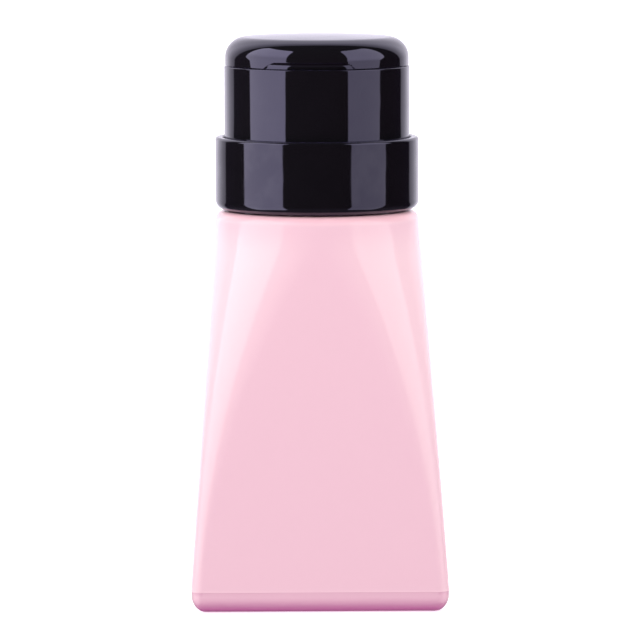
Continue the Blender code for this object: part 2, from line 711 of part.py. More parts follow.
def make_dip_tube(collection, guides):
    """Makes the tube, cut at a slant just above the bottle's floor."""
    bottom = BOTTLE_WALL + PUSH_UP_HEIGHT + TUBE_FLOOR_GAP
    top = SOCKET_TOP - SEAT_GAP
    bore = TUBE_RADIUS - TUBE_WALL
    corners = [(TUBE_RADIUS, top), (TUBE_RADIUS, bottom), (bore, bottom), (bore, top)]
    tube = turned("dip_tube", corners, SMALL_STEPS, collection)
    reach = TUBE_RADIUS * 2
    rise = 2 * TUBE_RADIUS * math.tan(TUBE_CUT_ANGLE)
    cutter = block("tube_end_cutter", (-reach, -reach, -reach), (reach, reach, 0), 0, guides)
    cutter.location = (0, 0, bottom + rise / 2)
    cutter.rotation_euler = (TUBE_CUT_ANGLE, 0, 0)
    combine(tube, cutter, "DIFFERENCE")
    return dress(tube, MILKY_PLASTIC)


def spring_height(turns):
    """Returns how far the spring has climbed, with closer turns at both ends."""
    length = CORE_FLANGE_BOTTOM - CAGE_FLANGE_TOP - 2 * (SEAT_GAP + SPRING_WIRE_RADIUS)
    open_pitch = (length - 2 * SPRING_END_PITCH) / (SPRING_TURNS - 2)
    if turns < 1:
        return SPRING_END_PITCH * turns
    if turns > SPRING_TURNS - 1:
        return length - SPRING_END_PITCH * (SPRING_TURNS - turns)
    return SPRING_END_PITCH + open_pitch * (turns - 1)


def make_spring(collection):
    """Winds the return spring as one wire and prints its least gap to itself."""
    start = CAGE_FLANGE_TOP + SEAT_GAP + SPRING_WIRE_RADIUS
    count = SPRING_TURNS * SPRING_POINTS_PER_TURN
    points = []
    for index in range(count + 1):
        turns = index / SPRING_POINTS_PER_TURN
        angle = math.tau * turns
        side = Vector((math.cos(angle), math.sin(angle), 0)) * SPRING_RADIUS
        points.append(side + Vector((0, 0, start + spring_height(turns))))
    near = SPRING_POINTS_PER_TURN - 2
    least = min((points[first] - points[second]).length
                for first in range(count) for second in range(first + near, count + 1))
    print("return_spring least gap", round(least - 2 * SPRING_WIRE_RADIUS, 6))
    curve = bpy.data.curves.new("return_spring", "CURVE")
    curve.dimensions = "3D"
    curve.bevel_depth = SPRING_WIRE_RADIUS
    curve.bevel_resolution = SPRING_BEVEL_RESOLUTION
    curve.use_fill_caps = True
    spline = curve.splines.new("POLY")
    spline.points.add(count)
    for control, point in zip(spline.points, points):
        control.co = (*point, 1)
    return dress(add_object("return_spring", curve, collection), STEEL)


def make_piston_core(collection, parent):
    """Makes the lower stem with the flange that carries the piston."""
    nub_radius = SPRING_RADIUS - SPRING_WIRE_RADIUS - CORE_NUB_GAP
    tube_top = STEM_BOTTOM + STEM_SOCKET_DEPTH - SEAT_GAP
    core = turned("piston_core", [
        (CORE_TUBE_RADIUS, tube_top),
        (CORE_TUBE_RADIUS, CORE_FLANGE_TOP),
        (CORE_FLANGE_RADIUS, CORE_FLANGE_TOP),
        (CORE_FLANGE_RADIUS, CORE_FLANGE_BOTTOM),
        (nub_radius, CORE_FLANGE_BOTTOM),
        (nub_radius, CORE_FLANGE_BOTTOM - CORE_NUB_LENGTH),
        (CORE_BORE_RADIUS, CORE_FLANGE_BOTTOM - CORE_NUB_LENGTH),
        (CORE_BORE_RADIUS, tube_top),
    ], SMALL_STEPS, collection, parent)
    return dress(core, MILKY_PLASTIC)


def make_piston(collection, parent):
    """Makes the soft piston with a lip at each end."""
    lip_radius = BORE_RADIUS - RUNNING_GAP
    waist_radius = lip_radius - PISTON_WAIST
    bore = CORE_TUBE_RADIUS + SEAT_GAP
    piston = turned("piston", [
        (lip_radius, PISTON_TOP),
        (lip_radius, PISTON_TOP - PISTON_LIP_HEIGHT / 2),
        (waist_radius, PISTON_TOP - PISTON_LIP_HEIGHT),
        (waist_radius, PISTON_BOTTOM + PISTON_LIP_HEIGHT),
        (lip_radius, PISTON_BOTTOM + PISTON_LIP_HEIGHT / 2),
        (lip_radius, PISTON_BOTTOM),
        (bore, PISTON_BOTTOM),
        (bore, PISTON_TOP),
    ], SMALL_STEPS, collection, parent)
    return dress(piston, MILKY_PLASTIC)


def make_stem(collection, parent):
    """Makes the hollow stem, with its stop below and the outlet seat on top."""
    socket_radius = CORE_TUBE_RADIUS + SLEEVE_GAP
    stop_radius = STEM_RADIUS + STEM_STOP_WIDTH
    stem = turned("stem", [
        (STEM_RADIUS, STEM_TOP),
        (STEM_RADIUS, STEM_STOP_TOP),
        (stop_radius, STEM_STOP_TOP),
        (stop_radius, STEM_BOTTOM),
        (socket_radius, STEM_BOTTOM),
        (socket_radius, STEM_BOTTOM + STEM_SOCKET_DEPTH),
        (STEM_BORE_RADIUS, STEM_BOTTOM + STEM_SOCKET_DEPTH),
        (STEM_BORE_RADIUS, STEM_TOP - STEM_SEAT_DEPTH),
        (STEM_BORE_RADIUS + STEM_SEAT_DEPTH, STEM_TOP),
    ], SMALL_STEPS, collection, parent)
    return dress(stem, MILKY_PLASTIC)


def make_dish(collection, guides, parent, ball_top):
    """Makes the pad dish, its rim, the hub for the stem and the ribs between them."""
    bead_height = DISH_FLANGE_TOP + DISH_RIM_RISE * DISH_BEAD_SHARE
    cage_radius = OUTLET_BALL_RADIUS + OUTLET_CAGE_GAP
    cage_top = ball_top + OUTLET_BALL_LIFT
    boss_radius = NOZZLE_BORE_RADIUS + NOZZLE_BOSS_WALL
    middle_under = DISH_MIDDLE_FLOOR - DISH_FLOOR_THICKNESS
    edge_under = DISH_EDGE_FLOOR - DISH_FLOOR_THICKNESS
    edge_radius = LEDGE_RADIUS - SEAT_GAP
    dish = turned("dish", [
        (DISH_RIM_RADIUS, DISH_RIM_TOP, DISH_RIM_ROUND),
        (DISH_RIM_RADIUS, bead_height + DISH_BEAD),
        (DISH_RIM_RADIUS + DISH_BEAD, bead_height),
        (DISH_RIM_RADIUS, bead_height - DISH_BEAD),
        (DISH_RIM_RADIUS, DISH_FLANGE_TOP),
        (DISH_FLANGE_RADIUS, DISH_FLANGE_TOP),
        (DISH_FLANGE_RADIUS, DISH_FLANGE_BOTTOM),
        (edge_radius, DISH_FLANGE_BOTTOM),
        (edge_radius, edge_under, DISH_FLOOR_THICKNESS / 2),
        (HUB_RADIUS, middle_under),
        (HUB_RADIUS, HUB_BOTTOM),
        (STEM_RADIUS + SLEEVE_GAP, HUB_BOTTOM),
        (STEM_RADIUS + SLEEVE_GAP, STEM_TOP + SEAT_GAP),
        (cage_radius, STEM_TOP + SEAT_GAP),
        (cage_radius, cage_top),
        (NOZZLE_BORE_RADIUS, cage_top),
        (NOZZLE_BORE_RADIUS, NOZZLE_SEAT),
        (boss_radius, NOZZLE_SEAT),
        (boss_radius, DISH_MIDDLE_FLOOR),
        (DISH_INNER_RADIUS, DISH_EDGE_FLOOR, DISH_CORNER_ROUND),
        (DISH_INNER_RADIUS, DISH_RIM_TOP, DISH_RIM_ROUND),
    ], MIDDLE_STEPS, collection, parent)
    rib_radius = edge_radius - DISH_FLOOR_THICKNESS
    ribs = mesh_ribs("dish_ribs", DISH_RIBS, DISH_RIB_THICKNESS, [
        (HUB_RADIUS - WELD_OVERLAP, middle_under + WELD_OVERLAP),
        (HUB_RADIUS - WELD_OVERLAP, middle_under - DISH_RIB_DEPTH),
        (rib_radius, edge_under - WELD_OVERLAP),
        (rib_radius, edge_under + WELD_OVERLAP),
    ], guides, parent)
    combine(dish, ribs, "UNION")
    return dress(dish, BLACK_SATIN)


def make_nozzle(collection, guides, parent, ball_top):
    """Makes the pierced insert in the middle of the dish."""
    bottom = ball_top + OUTLET_BALL_LIFT + SEAT_GAP
    cavity_top = NOZZLE_TOP - NOZZLE_TOP_WALL
    nozzle = turned("outlet_nozzle", [
        (0, NOZZLE_TOP),
        (NOZZLE_FLANGE_RADIUS, NOZZLE_TOP, NOZZLE_EDGE_ROUND),
        (NOZZLE_FLANGE_RADIUS, NOZZLE_SEAT + SEAT_GAP),
        (NOZZLE_PLUG_RADIUS, NOZZLE_SEAT + SEAT_GAP),
        (NOZZLE_PLUG_RADIUS, bottom),
        (NOZZLE_CAVITY_RADIUS, bottom),
        (NOZZLE_CAVITY_RADIUS, cavity_top),
        (0, cavity_top),
    ], SMALL_STEPS, collection, parent, closed=False)
    places = [(0, 0)]
    for index in range(NOZZLE_HOLES):
        angle = math.tau * (index + 0.5) / NOZZLE_HOLES
        places.append((NOZZLE_HOLE_CIRCLE * math.cos(angle), NOZZLE_HOLE_CIRCLE * math.sin(angle)))
    for index, (x, y) in enumerate(places):
        hole = rod(f"nozzle_hole_cutter_{index + 1}", NOZZLE_HOLE_RADIUS, cavity_top - CUT_OVERRUN / 2,
                   NOZZLE_TOP + CUT_OVERRUN, (x, y, 0), "Z", TINY_STEPS, guides, parent)
        combine(nozzle, hole, "DIFFERENCE")
    return dress(nozzle, MILKY_PLASTIC)


def hinge_arc(first, last):
    """Returns points of the hinge's barrel between two angles, as (y, z)."""
    points = []
    for step in range(BARREL_STEPS + 1):
        angle = first + (last - first) * step / BARREL_STEPS
        side = (BARREL_RADIUS * math.cos(angle), BARREL_RADIUS * math.sin(angle))
        points.append((HINGE_Y + side[0], HINGE_Z + side[1]))
    return points


def pin_bore(name, half_length, guides, parent):
    """Adds the cutter for the pin's hole through a knuckle."""
    place = (0, HINGE_Y, HINGE_Z)
    return rod(name, PIN_BORE_RADIUS, -half_length, half_length, place, "X", PIN_STEPS,
               guides, parent)


def make_head_shell(collection, guides, parent):
    """Makes the head's outer shell with its dish ledge and hinge ears."""
    shell = turned("head_shell", [
        (HEAD_RADIUS, HEAD_TOP, HEAD_EDGE_ROUND),
        (HEAD_RADIUS, HEAD_BOTTOM, HEAD_EDGE_ROUND),
        (HEAD_BORE_RADIUS, HEAD_BOTTOM),
        (HEAD_BORE_RADIUS, LEDGE_TOP - HEAD_LEDGE_HEIGHT - HEAD_LEDGE_SLOPE),
        (LEDGE_RADIUS, LEDGE_TOP - HEAD_LEDGE_HEIGHT),
        (LEDGE_RADIUS, LEDGE_TOP),
        (HEAD_BORE_RADIUS, LEDGE_TOP),
        (HEAD_BORE_RADIUS, HEAD_TOP),
    ], FINE_STEPS, collection, parent)
    root = HEAD_RADIUS - EAR_ROOT_DEPTH
    outline = [(root, HEAD_TOP - EAR_HEIGHT), *hinge_arc(*EAR_ARC), (root, HEAD_TOP - SEAT_GAP)]
    inner = LID_KNUCKLE_WIDTH / 2 + SEAT_GAP
    for index, side in enumerate((-1, 1)):
        low, high = sorted((side * inner, side * HINGE_HALF_WIDTH))
        combine(shell, extruded(f"head_ear_{index + 1}", outline, low, high, guides, parent), "UNION")
    bore = pin_bore("head_pin_cutter", HINGE_HALF_WIDTH + CUT_OVERRUN, guides, parent)
    combine(shell, bore, "DIFFERENCE")
    return dress(shell, BLACK_GLOSS)


def notch_cutter(guides, parent):
    """Returns the arched, shallow cutter for the thumb notch in the lid's lower edge."""
    floor_radius = LID_RADIUS - NOTCH_DEPTH
    outer = LID_RADIUS + CUT_OVERRUN
    top = LID_BOTTOM + NOTCH_HEIGHT + CUT_OVERRUN
    bottom = LID_BOTTOM - CUT_OVERRUN
    cutter = turned("notch_cutter", [
        (outer, top), (outer, bottom), (floor_radius, bottom), (floor_radius, top),
    ], FINE_STEPS, guides, parent)
    arch_radius = ((NOTCH_WIDTH / 2) ** 2 + NOTCH_HEIGHT ** 2) / (2 * NOTCH_HEIGHT)
    place = (0, 0, LID_BOTTOM + NOTCH_HEIGHT - arch_radius)
    arch = rod("notch_arch", arch_radius, -outer - CUT_OVERRUN, 0, place, "Y", ARCH_STEPS, guides,
               parent)
    return combine(cutter, arch, "INTERSECT")


def make_lid(collection, guides, parent):
    """Makes the flip lid with its plug boss, thumb notch and hinge knuckle."""
    boss_bore = LID_BOSS_RADIUS - LID_BOSS_WALL
    boss_bottom = LID_CEILING - LID_BOSS_LENGTH
    crown = []
    for step in range(LID_CROWN_STEPS):
        share = step / LID_CROWN_STEPS
        crown.append((LID_RADIUS * share, LID_TOP + LID_CROWN * (1 - share ** 2)))
    lid = turned("lid", [
        *crown,
        (LID_RADIUS, LID_TOP, LID_TOP_ROUND),
        (LID_RADIUS, LID_BOTTOM, LID_EDGE_ROUND),
        (LID_BORE_RADIUS, LID_BOTTOM),
        (LID_BORE_RADIUS, LID_CEILING, LID_TOP_ROUND - LID_WALL),
        (LID_BOSS_RADIUS, LID_CEILING),
        (LID_BOSS_RADIUS, boss_bottom),
        (boss_bore, boss_bottom),
        (boss_bore, LID_CEILING),
        (0, LID_CEILING),
    ], FINE_STEPS, collection, parent, closed=False)
    root = LID_RADIUS - LEAF_ROOT_DEPTH
    outline = [(root, LID_BOTTOM + SEAT_GAP), *hinge_arc(*KNUCKLE_ARC), (root, LID_BOTTOM + LEAF_HEIGHT)]
    half = LID_KNUCKLE_WIDTH / 2
    combine(lid, extruded("lid_knuckle", outline, -half, half, guides, parent), "UNION")
    combine(lid, pin_bore("lid_pin_cutter", half + CUT_OVERRUN, guides, parent), "DIFFERENCE")
    combine(lid, notch_cutter(guides, parent), "DIFFERENCE")
    return dress(lid, BLACK_GLOSS)


def make_lid_plug(collection, parent):
    """Makes the soft plug that the lid's boss holds over the nozzle."""
    radius = LID_BOSS_RADIUS - LID_BOSS_WALL - SEAT_GAP
    plug = turned("lid_plug", [
        (0, LID_CEILING - SEAT_GAP),
        (radius, LID_CEILING - SEAT_GAP),
        (radius, NOZZLE_TOP + SEAT_GAP, PLUG_EDGE_ROUND),
        (0, NOZZLE_TOP + SEAT_GAP),
    ], SMALL_STEPS, collection, parent, closed=False)
    return dress(plug, GREY_RUBBER)


def make_hinge_pin(collection, parent):
    """Makes the pin through the knuckles."""
    half = HINGE_HALF_WIDTH - SEAT_GAP
    place = (0, HINGE_Y, HINGE_Z)
    pin = rod("hinge_pin", PIN_RADIUS, -half, half, place, "X", PIN_STEPS, collection, parent)
    pin.data.shade_smooth()
    pin.data.set_sharp_from_angle(angle=SHARP_ANGLE)
    return dress(pin, STEEL)


def add_empty(name, collection, parent, place):
    """Adds an empty on a joint's axis."""
    empty = bpy.data.objects.new(name, None)
    empty.location = place
    empty.parent = parent
    collection.objects.link(empty)
    return empty


def main():
    """Builds every piece."""
    clear_scene()
    pieces = new_collection("remover_pump_bottle")
    guides = new_collection("cutters")
    head_axis = add_empty("head_axis", pieces, None, (0, 0, 0))
    head_axis.rotation_euler = (0, 0, HEAD_TURN)

    make_bottle(pieces)
    make_gasket(pieces)
    make_collar(pieces, guides)
    make_housing(pieces, guides)
    make_housing_cap(pieces)
    make_stem_seal(pieces)
    make_inlet_valve(pieces, guides)
    make_dip_tube(pieces, guides)
    make_spring(pieces)

    make_piston_core(pieces, head_axis)
    make_piston(pieces, head_axis)
    make_stem(pieces, head_axis)
    outlet_rest = ball_rest(OUTLET_BALL_RADIUS, STEM_BORE_RADIUS, 1, STEM_TOP - STEM_SEAT_DEPTH)
    dress(ball("outlet_ball", OUTLET_BALL_RADIUS, outlet_rest, pieces, head_axis), STEEL)
    ball_top = outlet_rest + OUTLET_BALL_RADIUS
    make_dish(pieces, guides, head_axis, ball_top)
    make_nozzle(pieces, guides, head_axis, ball_top)
    make_head_shell(pieces, guides, head_axis)
    make_hinge_pin(pieces, head_axis)
    make_lid(pieces, guides, head_axis)
    make_lid_plug(pieces, head_axis)


main()
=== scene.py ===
"""Dresses the pump bottle: smooth mouldings, their finishes, the studio and the camera.

Lengths are metres and +Z is up. Outlines of turned pieces are (radius, height)
corners, and a third value rounds that corner.
"""
import math

import bmesh
import bpy
from bpy.props import FloatProperty, FloatVectorProperty, PointerProperty
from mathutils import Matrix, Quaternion, Vector


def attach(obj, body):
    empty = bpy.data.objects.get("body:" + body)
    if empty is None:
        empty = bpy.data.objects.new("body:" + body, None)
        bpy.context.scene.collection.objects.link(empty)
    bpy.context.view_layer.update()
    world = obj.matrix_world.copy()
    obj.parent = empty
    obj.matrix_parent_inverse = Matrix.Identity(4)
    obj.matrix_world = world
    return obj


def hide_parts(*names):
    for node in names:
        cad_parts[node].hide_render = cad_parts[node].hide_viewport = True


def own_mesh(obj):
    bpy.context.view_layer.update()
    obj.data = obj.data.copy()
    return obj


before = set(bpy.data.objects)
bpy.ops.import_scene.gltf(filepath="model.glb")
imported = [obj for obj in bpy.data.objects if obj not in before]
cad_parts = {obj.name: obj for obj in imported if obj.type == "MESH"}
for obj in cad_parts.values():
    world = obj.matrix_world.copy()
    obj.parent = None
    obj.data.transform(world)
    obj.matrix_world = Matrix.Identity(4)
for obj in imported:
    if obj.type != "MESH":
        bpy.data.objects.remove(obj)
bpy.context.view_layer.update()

bl_info = {
    "name": "Pump bottle",
    "version": (1, 0, 0),
    "blender": (4, 5, 0),
    "location": "3D View > Sidebar > Pump bottle",
    "description": "Builds and dresses a press-down pump bottle",
    "category": "Add Mesh",
}

# Mesh detail
TURN_STEPS = 144
SMALL_TURN_STEPS = 64
BORE_STEPS = 48
HOLE_STEPS = 24
PIN_STEPS = 32
FLOOR_STEPS = 64
ROUND_SEGMENTS = ((0.002, 12), (0.0005, 6), (0.0, 4))
EDGE_SEGMENTS = 3
BODY_LEVELS = 30
ROUND_LEVELS = 9
INNER_LEVELS = 8
CORNER_SEGMENTS = 24
BARREL_POINTS = 20
THREAD_STEPS = 66
SHARP_ANGLE = math.radians(32)
NEAR = 0.000002
WELD = 0.0000005
START_SIZE = 0.001

# Roundings and gaps that several pieces share
HAIR_ROUND = 0.0002
FINE_ROUND = 0.0003
SMALL_ROUND = 0.0004
SEAT_GAP = 0.0003
WELD_OVERLAP = 0.0004
RIB_THICKNESS = 0.001
CUT_OVERRUN = 0.002

# Bottle
BOTTLE_WALL = 0.0014
FOOT_ROUND = 0.0042
FOOT_CORNER = 0.003
SHOULDER_ROUND = 0.0026
LEAST_CORNER = 0.0005
CORNER_MARGIN = 0.00002
FLAT_RISE = 0.00005
PUSH_UP = 0.001
PUSH_UP_SLOPE = 0.0015
PUSH_UP_CORNER = 0.002
STANDING_BAND = 0.0048
STANDING_CORNER = 0.003
BASE_LINE = 0.0054
BASE_LINE_HEIGHT = 0.00012
BASE_STEP = 0.00007
BASE_DRAFT = 0.00006
BEAD_SHARE = 0.0045
BEAD_STEP = 0.00006
ROUND_FROM_SHARE = 0.96
ROUNDING_POWER = 2.3
NECK_TOP = 0.1063
NECK_RADIUS = 0.0155
NECK_BORE = 0.0137
NECK_LIP_ROUND = 0.0004
NECK_LIP_SHARE = 0.3

# Screw thread
THREAD_PITCH = 0.0042
THREAD_TURNS = 1.15
THREAD_RUN_IN = 7
THREAD_SINK = 0.0009
BOTTLE_THREAD = ((0.0153, 0.10005), (0.0153, 0.10175), (0.01625, 0.10125), (0.01625, 0.10055))
COLLAR_THREAD = ((0.017, 0.10215), (0.017, 0.10385), (0.01605, 0.10335), (0.01605, 0.10265))

# Screw collar
COLLAR_BOTTOM = 0.0996
COLLAR_TOP = 0.118
COLLAR_BORE = 0.024
WEB_BOTTOM = 0.1096
WEB_TOP = 0.111
WEB_HOLE = 0.0093
SKIRT_RADIUS = 0.0184
SKIRT_BORE = 0.0168
SKIRT_BOTTOM = 0.1004
COLLAR_RIBS = 8
COLLAR_RIB_HEIGHT = 0.0055
COLLAR_TOP_ROUND = 0.0007
COLLAR_FOOT_ROUND = 0.0023
COLLAR_FOOT_WIDTH = 0.0033
COLLAR_FOOT_SLOPE = 0.0028

# Pump head, turned a little on its stem
HEAD_TURN = math.radians(-6.5)
HEAD_BOTTOM = 0.1166
HEAD_TOP = 0.13605
HEAD_BORE = 0.0222
LEDGE_RADIUS = 0.0206
LEDGE_TOP = 0.13445
LEDGE_EDGE = 0.0013
LEDGE_DEPTH = 0.0027

# Dish
DISH_FLANGE = 0.0219
DISH_RIM = 0.0212
DISH_INNER = 0.0199
DISH_RIM_TOP = 0.13945
DISH_BEAD_HEIGHT = 0.13809
DISH_BEAD = 0.0003
DISH_EDGE_FLOOR = 0.13495
DISH_MIDDLE_FLOOR = 0.13395
DISH_FLOOR = 0.0014
DISH_FLOOR_ROUND = 0.0018
DISH_UNDER_ROUND = 0.0007
HUB_ROOT_ROUND = 0.0005
HUB_RADIUS = 0.0056
HUB_BOTTOM = 0.1194
HUB_BORE = 0.0034
STEM_END = 0.1265
BALL_CAGE_RADIUS = 0.0026
BALL_CAGE_TOP = 0.1294
NOZZLE_BORE = 0.0033
NOZZLE_SEAT = 0.13575
NOZZLE_BOSS = 0.0047
DISH_RIBS = 6
DISH_RIB_DEPTH = 0.0045

# Nozzle
NOZZLE_FLANGE = 0.0052
NOZZLE_TOP = 0.13725
NOZZLE_ROUND = 0.0006
NOZZLE_RADIUS = 0.0032
NOZZLE_PASSAGE = 0.002
NOZZLE_PLATE = 0.0014
NOZZLE_HOLE = 0.0004
NOZZLE_HOLE_CIRCLE = 0.0012
NOZZLE_HOLES = 4
NOZZLE_HOLE_DEPTH = 0.004

# Lid and its plug
LID_BOTTOM = 0.13617
LID_TOP = 0.1431
LID_CROWN = 0.00085
LID_CROWN_STEPS = 12
LID_CROWN_SHARE = 0.74
LID_BORE = 0.0219
LID_CEILING = 0.1416
LID_TOP_ROUND = 0.0052
LID_WALL = 0.0015
LID_BOSS = 0.006
LID_BOSS_BORE = 0.005
LID_BOSS_BOTTOM = 0.1382
NOTCH_WIDTH = 0.0236
NOTCH_TOP = 0.1378
NOTCH_TAPER = 0.0037
NOTCH_TAPER_STEPS = 10
NOTCH_DEPTH = 0.0009
NOTCH_COVE = 0.0015
NOTCH_COVE_STEPS = 8
NOTCH_EDGE = 0.00016
NOTCH_EDGE_START = 0.0004
NOTCH_REACH = 0.03
WALL_SLACK = 0.00003
HEIGHT_SLACK = 0.00005
PLUG_ROUND = 0.0005

# Return spring
SPRING_FOOT = 0.0845
SPRING_HEAD = 0.0967
SPRING_RADIUS = 0.0046
SPRING_WIRE = 0.0004
SPRING_TURNS = 6
SPRING_TURN_STEPS = 24
SPRING_END_PITCH = 0.00125
WIRE_POINTS = 12

# Lid hinge
HINGE_Y = 0.0253
HINGE_Z = 0.1362
HINGE_PLACE = (0, HINGE_Y, HINGE_Z)
ALONG_HINGE = (0, math.pi / 2, 0)
BARREL = 0.00145
PIN_RADIUS = 0.0006
PIN_BORE = 0.00068
PIN_BORE_LENGTH = 0.03
PIN_SETBACK = 0.0003
PIN_CHAMFER = 0.00015
LID_KNUCKLE = 0.0033
EAR_INNER = 0.0036
EAR_OUTER = 0.0074
EAR_ARC = (-50, 190)
EAR_ROOT = 0.0008
EAR_DROP = 0.0047
KNUCKLE_ARC = (165, 400)
KNUCKLE_ROOT = 0.0006
KNUCKLE_RISE = 0.0034
ROOT_SETBACK = 0.0003

# Surface marks and layers
GRAIN_SCALE = 4000.0
PATCH_SCALE = 90.0
PATCH_SPAN = (0.45, 0.75)
HAIRLINE_SCALE = 5200.0
HAIRLINE_SPAN = (0.70, 0.78)
HAIRLINE_TURN = (0.3, 0.5, 0.2)
HAIRLINE_STRETCH = (1.0, 1.0, 0.04)
MOTTLE_SCALE = 160.0
BLOTCH_SCALE = 150.0
BLOTCH_SPAN = (0.40, 0.70)
BLOTCH_ROUGHNESS = 0.55
COAT_ROUGHNESS = 0.06
SHEEN_ROUGHNESS = 0.35
GLOW_DEPTH = 0.002

# Tints of the reflections with the sheen's painted lavender, and where the bottle's colour carries painted
# reflection and painted shade
GLOSS_TINT = (0.74, 0.71, 1.0)
BOTTLE_TINT = (0.85, 1.0, 0.78)
# The sheen's lavender tint, painted in for the lamps' lavender light.
SHEEN_LAMP_TINT = (0.50, 0.42, 1.0)
# Painted reflection: the bottle's colour pales toward white over this span of facing.
PAINTED_REFLECTION_SPAN = (0.04, 0.36)
# Painted shade at the foot's edge: its span of facing and its share of the colour.
FOOT_EDGE_SHADE_SPAN = (0.36, 0.85)
FOOT_EDGE_SHADE_SHARE = 0.76
# Painted shade on the shoulder under the collar: the heights where it fades in, and its shares of the
# colour.
SHADE_START = 0.0968
SHADE_END = 0.0986
PAINTED_SHOULDER_SHADE = (0.96, 0.78, 0.84)

# Finishes, each with a colour of the panel; drawn steel is the spring, the balls and the pin
FINISHES = {
    "Pink plastic": dict(paint="bottle", roughness=0.02, wave=34.0, depth=0.00003, grain=0.002,
                         mottle=0.008, patches=0.015, lines=0.02, specular=0.34, tint=BOTTLE_TINT,
                         # The last value is the share of painted reflection toward white at the bottle's
                         # edges.
                         painted_reflection_share=0.09),
    # The gloss finishes' sheen is lit by the room; its lavender tint is painted in for the lamps' light.
    "Black gloss": dict(paint="closure", roughness=0.04, wave=80.0, depth=0.0001, grain=0.003,
                        mottle=0.2, patches=0.02, lines=0.05, specular=0.68, tint=GLOSS_TINT,
                        lavender_sheen=0.07, smudge=0.05),
    "Handled black gloss": dict(paint="closure", roughness=0.05, wave=110.0, depth=0.00006,
                                grain=0.01, mottle=0.3, patches=0.04, lines=0.08, specular=0.60,
                                tint=GLOSS_TINT, lavender_sheen=0.07, smudge=0.16),
    "Black satin": dict(paint="closure", roughness=0.24, wave=80.0, depth=0.00003, grain=0.08,
                        mottle=0.25, patches=0.08, lines=0.05),
    "Milky plastic": dict(paint="inner", roughness=0.30, wave=90.0, depth=0.00002, grain=0.05,
                          mottle=0.05, patches=0.06, lines=0.04, depth_glow=0.15),
    "Seal rubber": dict(paint="seal", roughness=0.58, wave=120.0, depth=0.00003, grain=0.2,
                        mottle=0.2, patches=0.1, lines=0.0, specular=0.3),
    "Drawn steel": dict(paint="metal", roughness=0.20, metallic=1.0, wave=200.0, depth=0.000005,
                        grain=0.05, mottle=0.1, patches=0.08, lines=0.12),
}

# Room, by direction: degrees from the front for the boxes, and shares for the rest
LEFT_BOX = (-66.0, 25.7)
RIGHT_BOX = (60.1, 22.2)
BOX_TOP = 54.0
BOX_BOTTOM = -45.0
BOX_CORNER = 8.0
BOX_SOFTNESS = 0.7
BOX_SPREAD = 0.4
BOX_SPREAD_FROM = -5.0
BOX_SPREAD_RISE = 14.0
GAIN_LOW = -10.0
GAIN_SPAN = 60.0
LEFT_GAIN = ((-2.0, 1.0), (4.0, 1.0), (12.0, 0.96), (26.0, 1.25))
RIGHT_GAIN = ((-2.0, 1.0), (4.0, 1.45), (12.0, 1.55), (26.0, 1.5))
LEFT_CAST = 3.4
RIGHT_CAST = 3.7
BACK_CAST = 1.5
BACKDROP_RISE = 0.46
BACKDROP_SPAN = 1.2
BACKDROP_STOPS = ((0.565, 0.0), (0.60, 0.45), (0.70, 0.62), (0.80, 0.86), (0.90, 1.0), (1.0, 0.82),
                  (1.1, 0.72))
UNDER_LEVEL = (0.41, 0.0, 0.28)
UNDER_SPAN = (0.20, -0.16)
TABLE_LEVEL = 0.1
TABLE_SPAN = (-0.30, -0.60)
BACKGROUND_LEVEL = 1.05
ROOM_MAP_SIZE = 512
MIRROR_TINT = (1.0, 0.96, 1.08)

# Key light, floor and camera
KEY_PLACE = (-0.11, -0.33, 0.34)
KEY_TARGET = (0, 0, 0.08)
KEY_SIZE = (0.5, 0.25)
FLOOR_RADIUS = 7.0
FLOOR_SHADES = (0.90, 0.88)
FLOOR_GRAIN = 300.0
FLOOR_GLOW = 0.55
FLOOR_ROUGHNESS = 0.9
SENSOR_WIDTH = 36.0
CLIP_SPAN = (0.05, 20.0)


class BottleSizes(bpy.types.PropertyGroup):
    """Sizes of the bottle and its closure."""
    base_width: FloatProperty(name="Base width", description="Width of the square foot",
                              default=0.065, min=0.05, max=0.09, unit="LENGTH")
    body_height: FloatProperty(name="Body height", description="Height of the bottle's shoulder",
                               default=0.0993, min=0.07, max=0.15, unit="LENGTH")
    top_radius: FloatProperty(name="Top radius", description="Radius of the shoulder and the collar",
                              default=0.0259, min=0.02, max=0.035, unit="LENGTH")
    head_radius: FloatProperty(name="Head radius", description="Radius of the pump head",
                               default=0.0236, min=0.02, max=0.03, unit="LENGTH")
    lid_radius: FloatProperty(name="Lid radius", description="Radius of the flip lid",
                              default=0.0234, min=0.02, max=0.03, unit="LENGTH")


class FinishColours(bpy.types.PropertyGroup):
    """Colours of the mouldings."""
    bottle: FloatVectorProperty(name="Bottle", description="Colour of the bottle", subtype="COLOR",
                                size=3, min=0, max=1, default=(0.95, 0.738, 0.735))
    closure: FloatVectorProperty(name="Closure", description="Colour of the collar, head and lid",
                                 subtype="COLOR", size=3, min=0, max=1, default=(0.0075, 0.0072, 0.0085))
    inner: FloatVectorProperty(name="Pump", description="Colour of the milky pump parts", subtype="COLOR",
                               size=3, min=0, max=1, default=(0.820, 0.835, 0.830))
    seal: FloatVectorProperty(name="Seals", description="Colour of the rubber seals", subtype="COLOR",
                              size=3, min=0, max=1, default=(0.085, 0.085, 0.090))
    metal: FloatVectorProperty(name="Metal", description="Colour of the spring, balls and pin",
                               subtype="COLOR", size=3, min=0, max=1, default=(0.600, 0.610, 0.630))


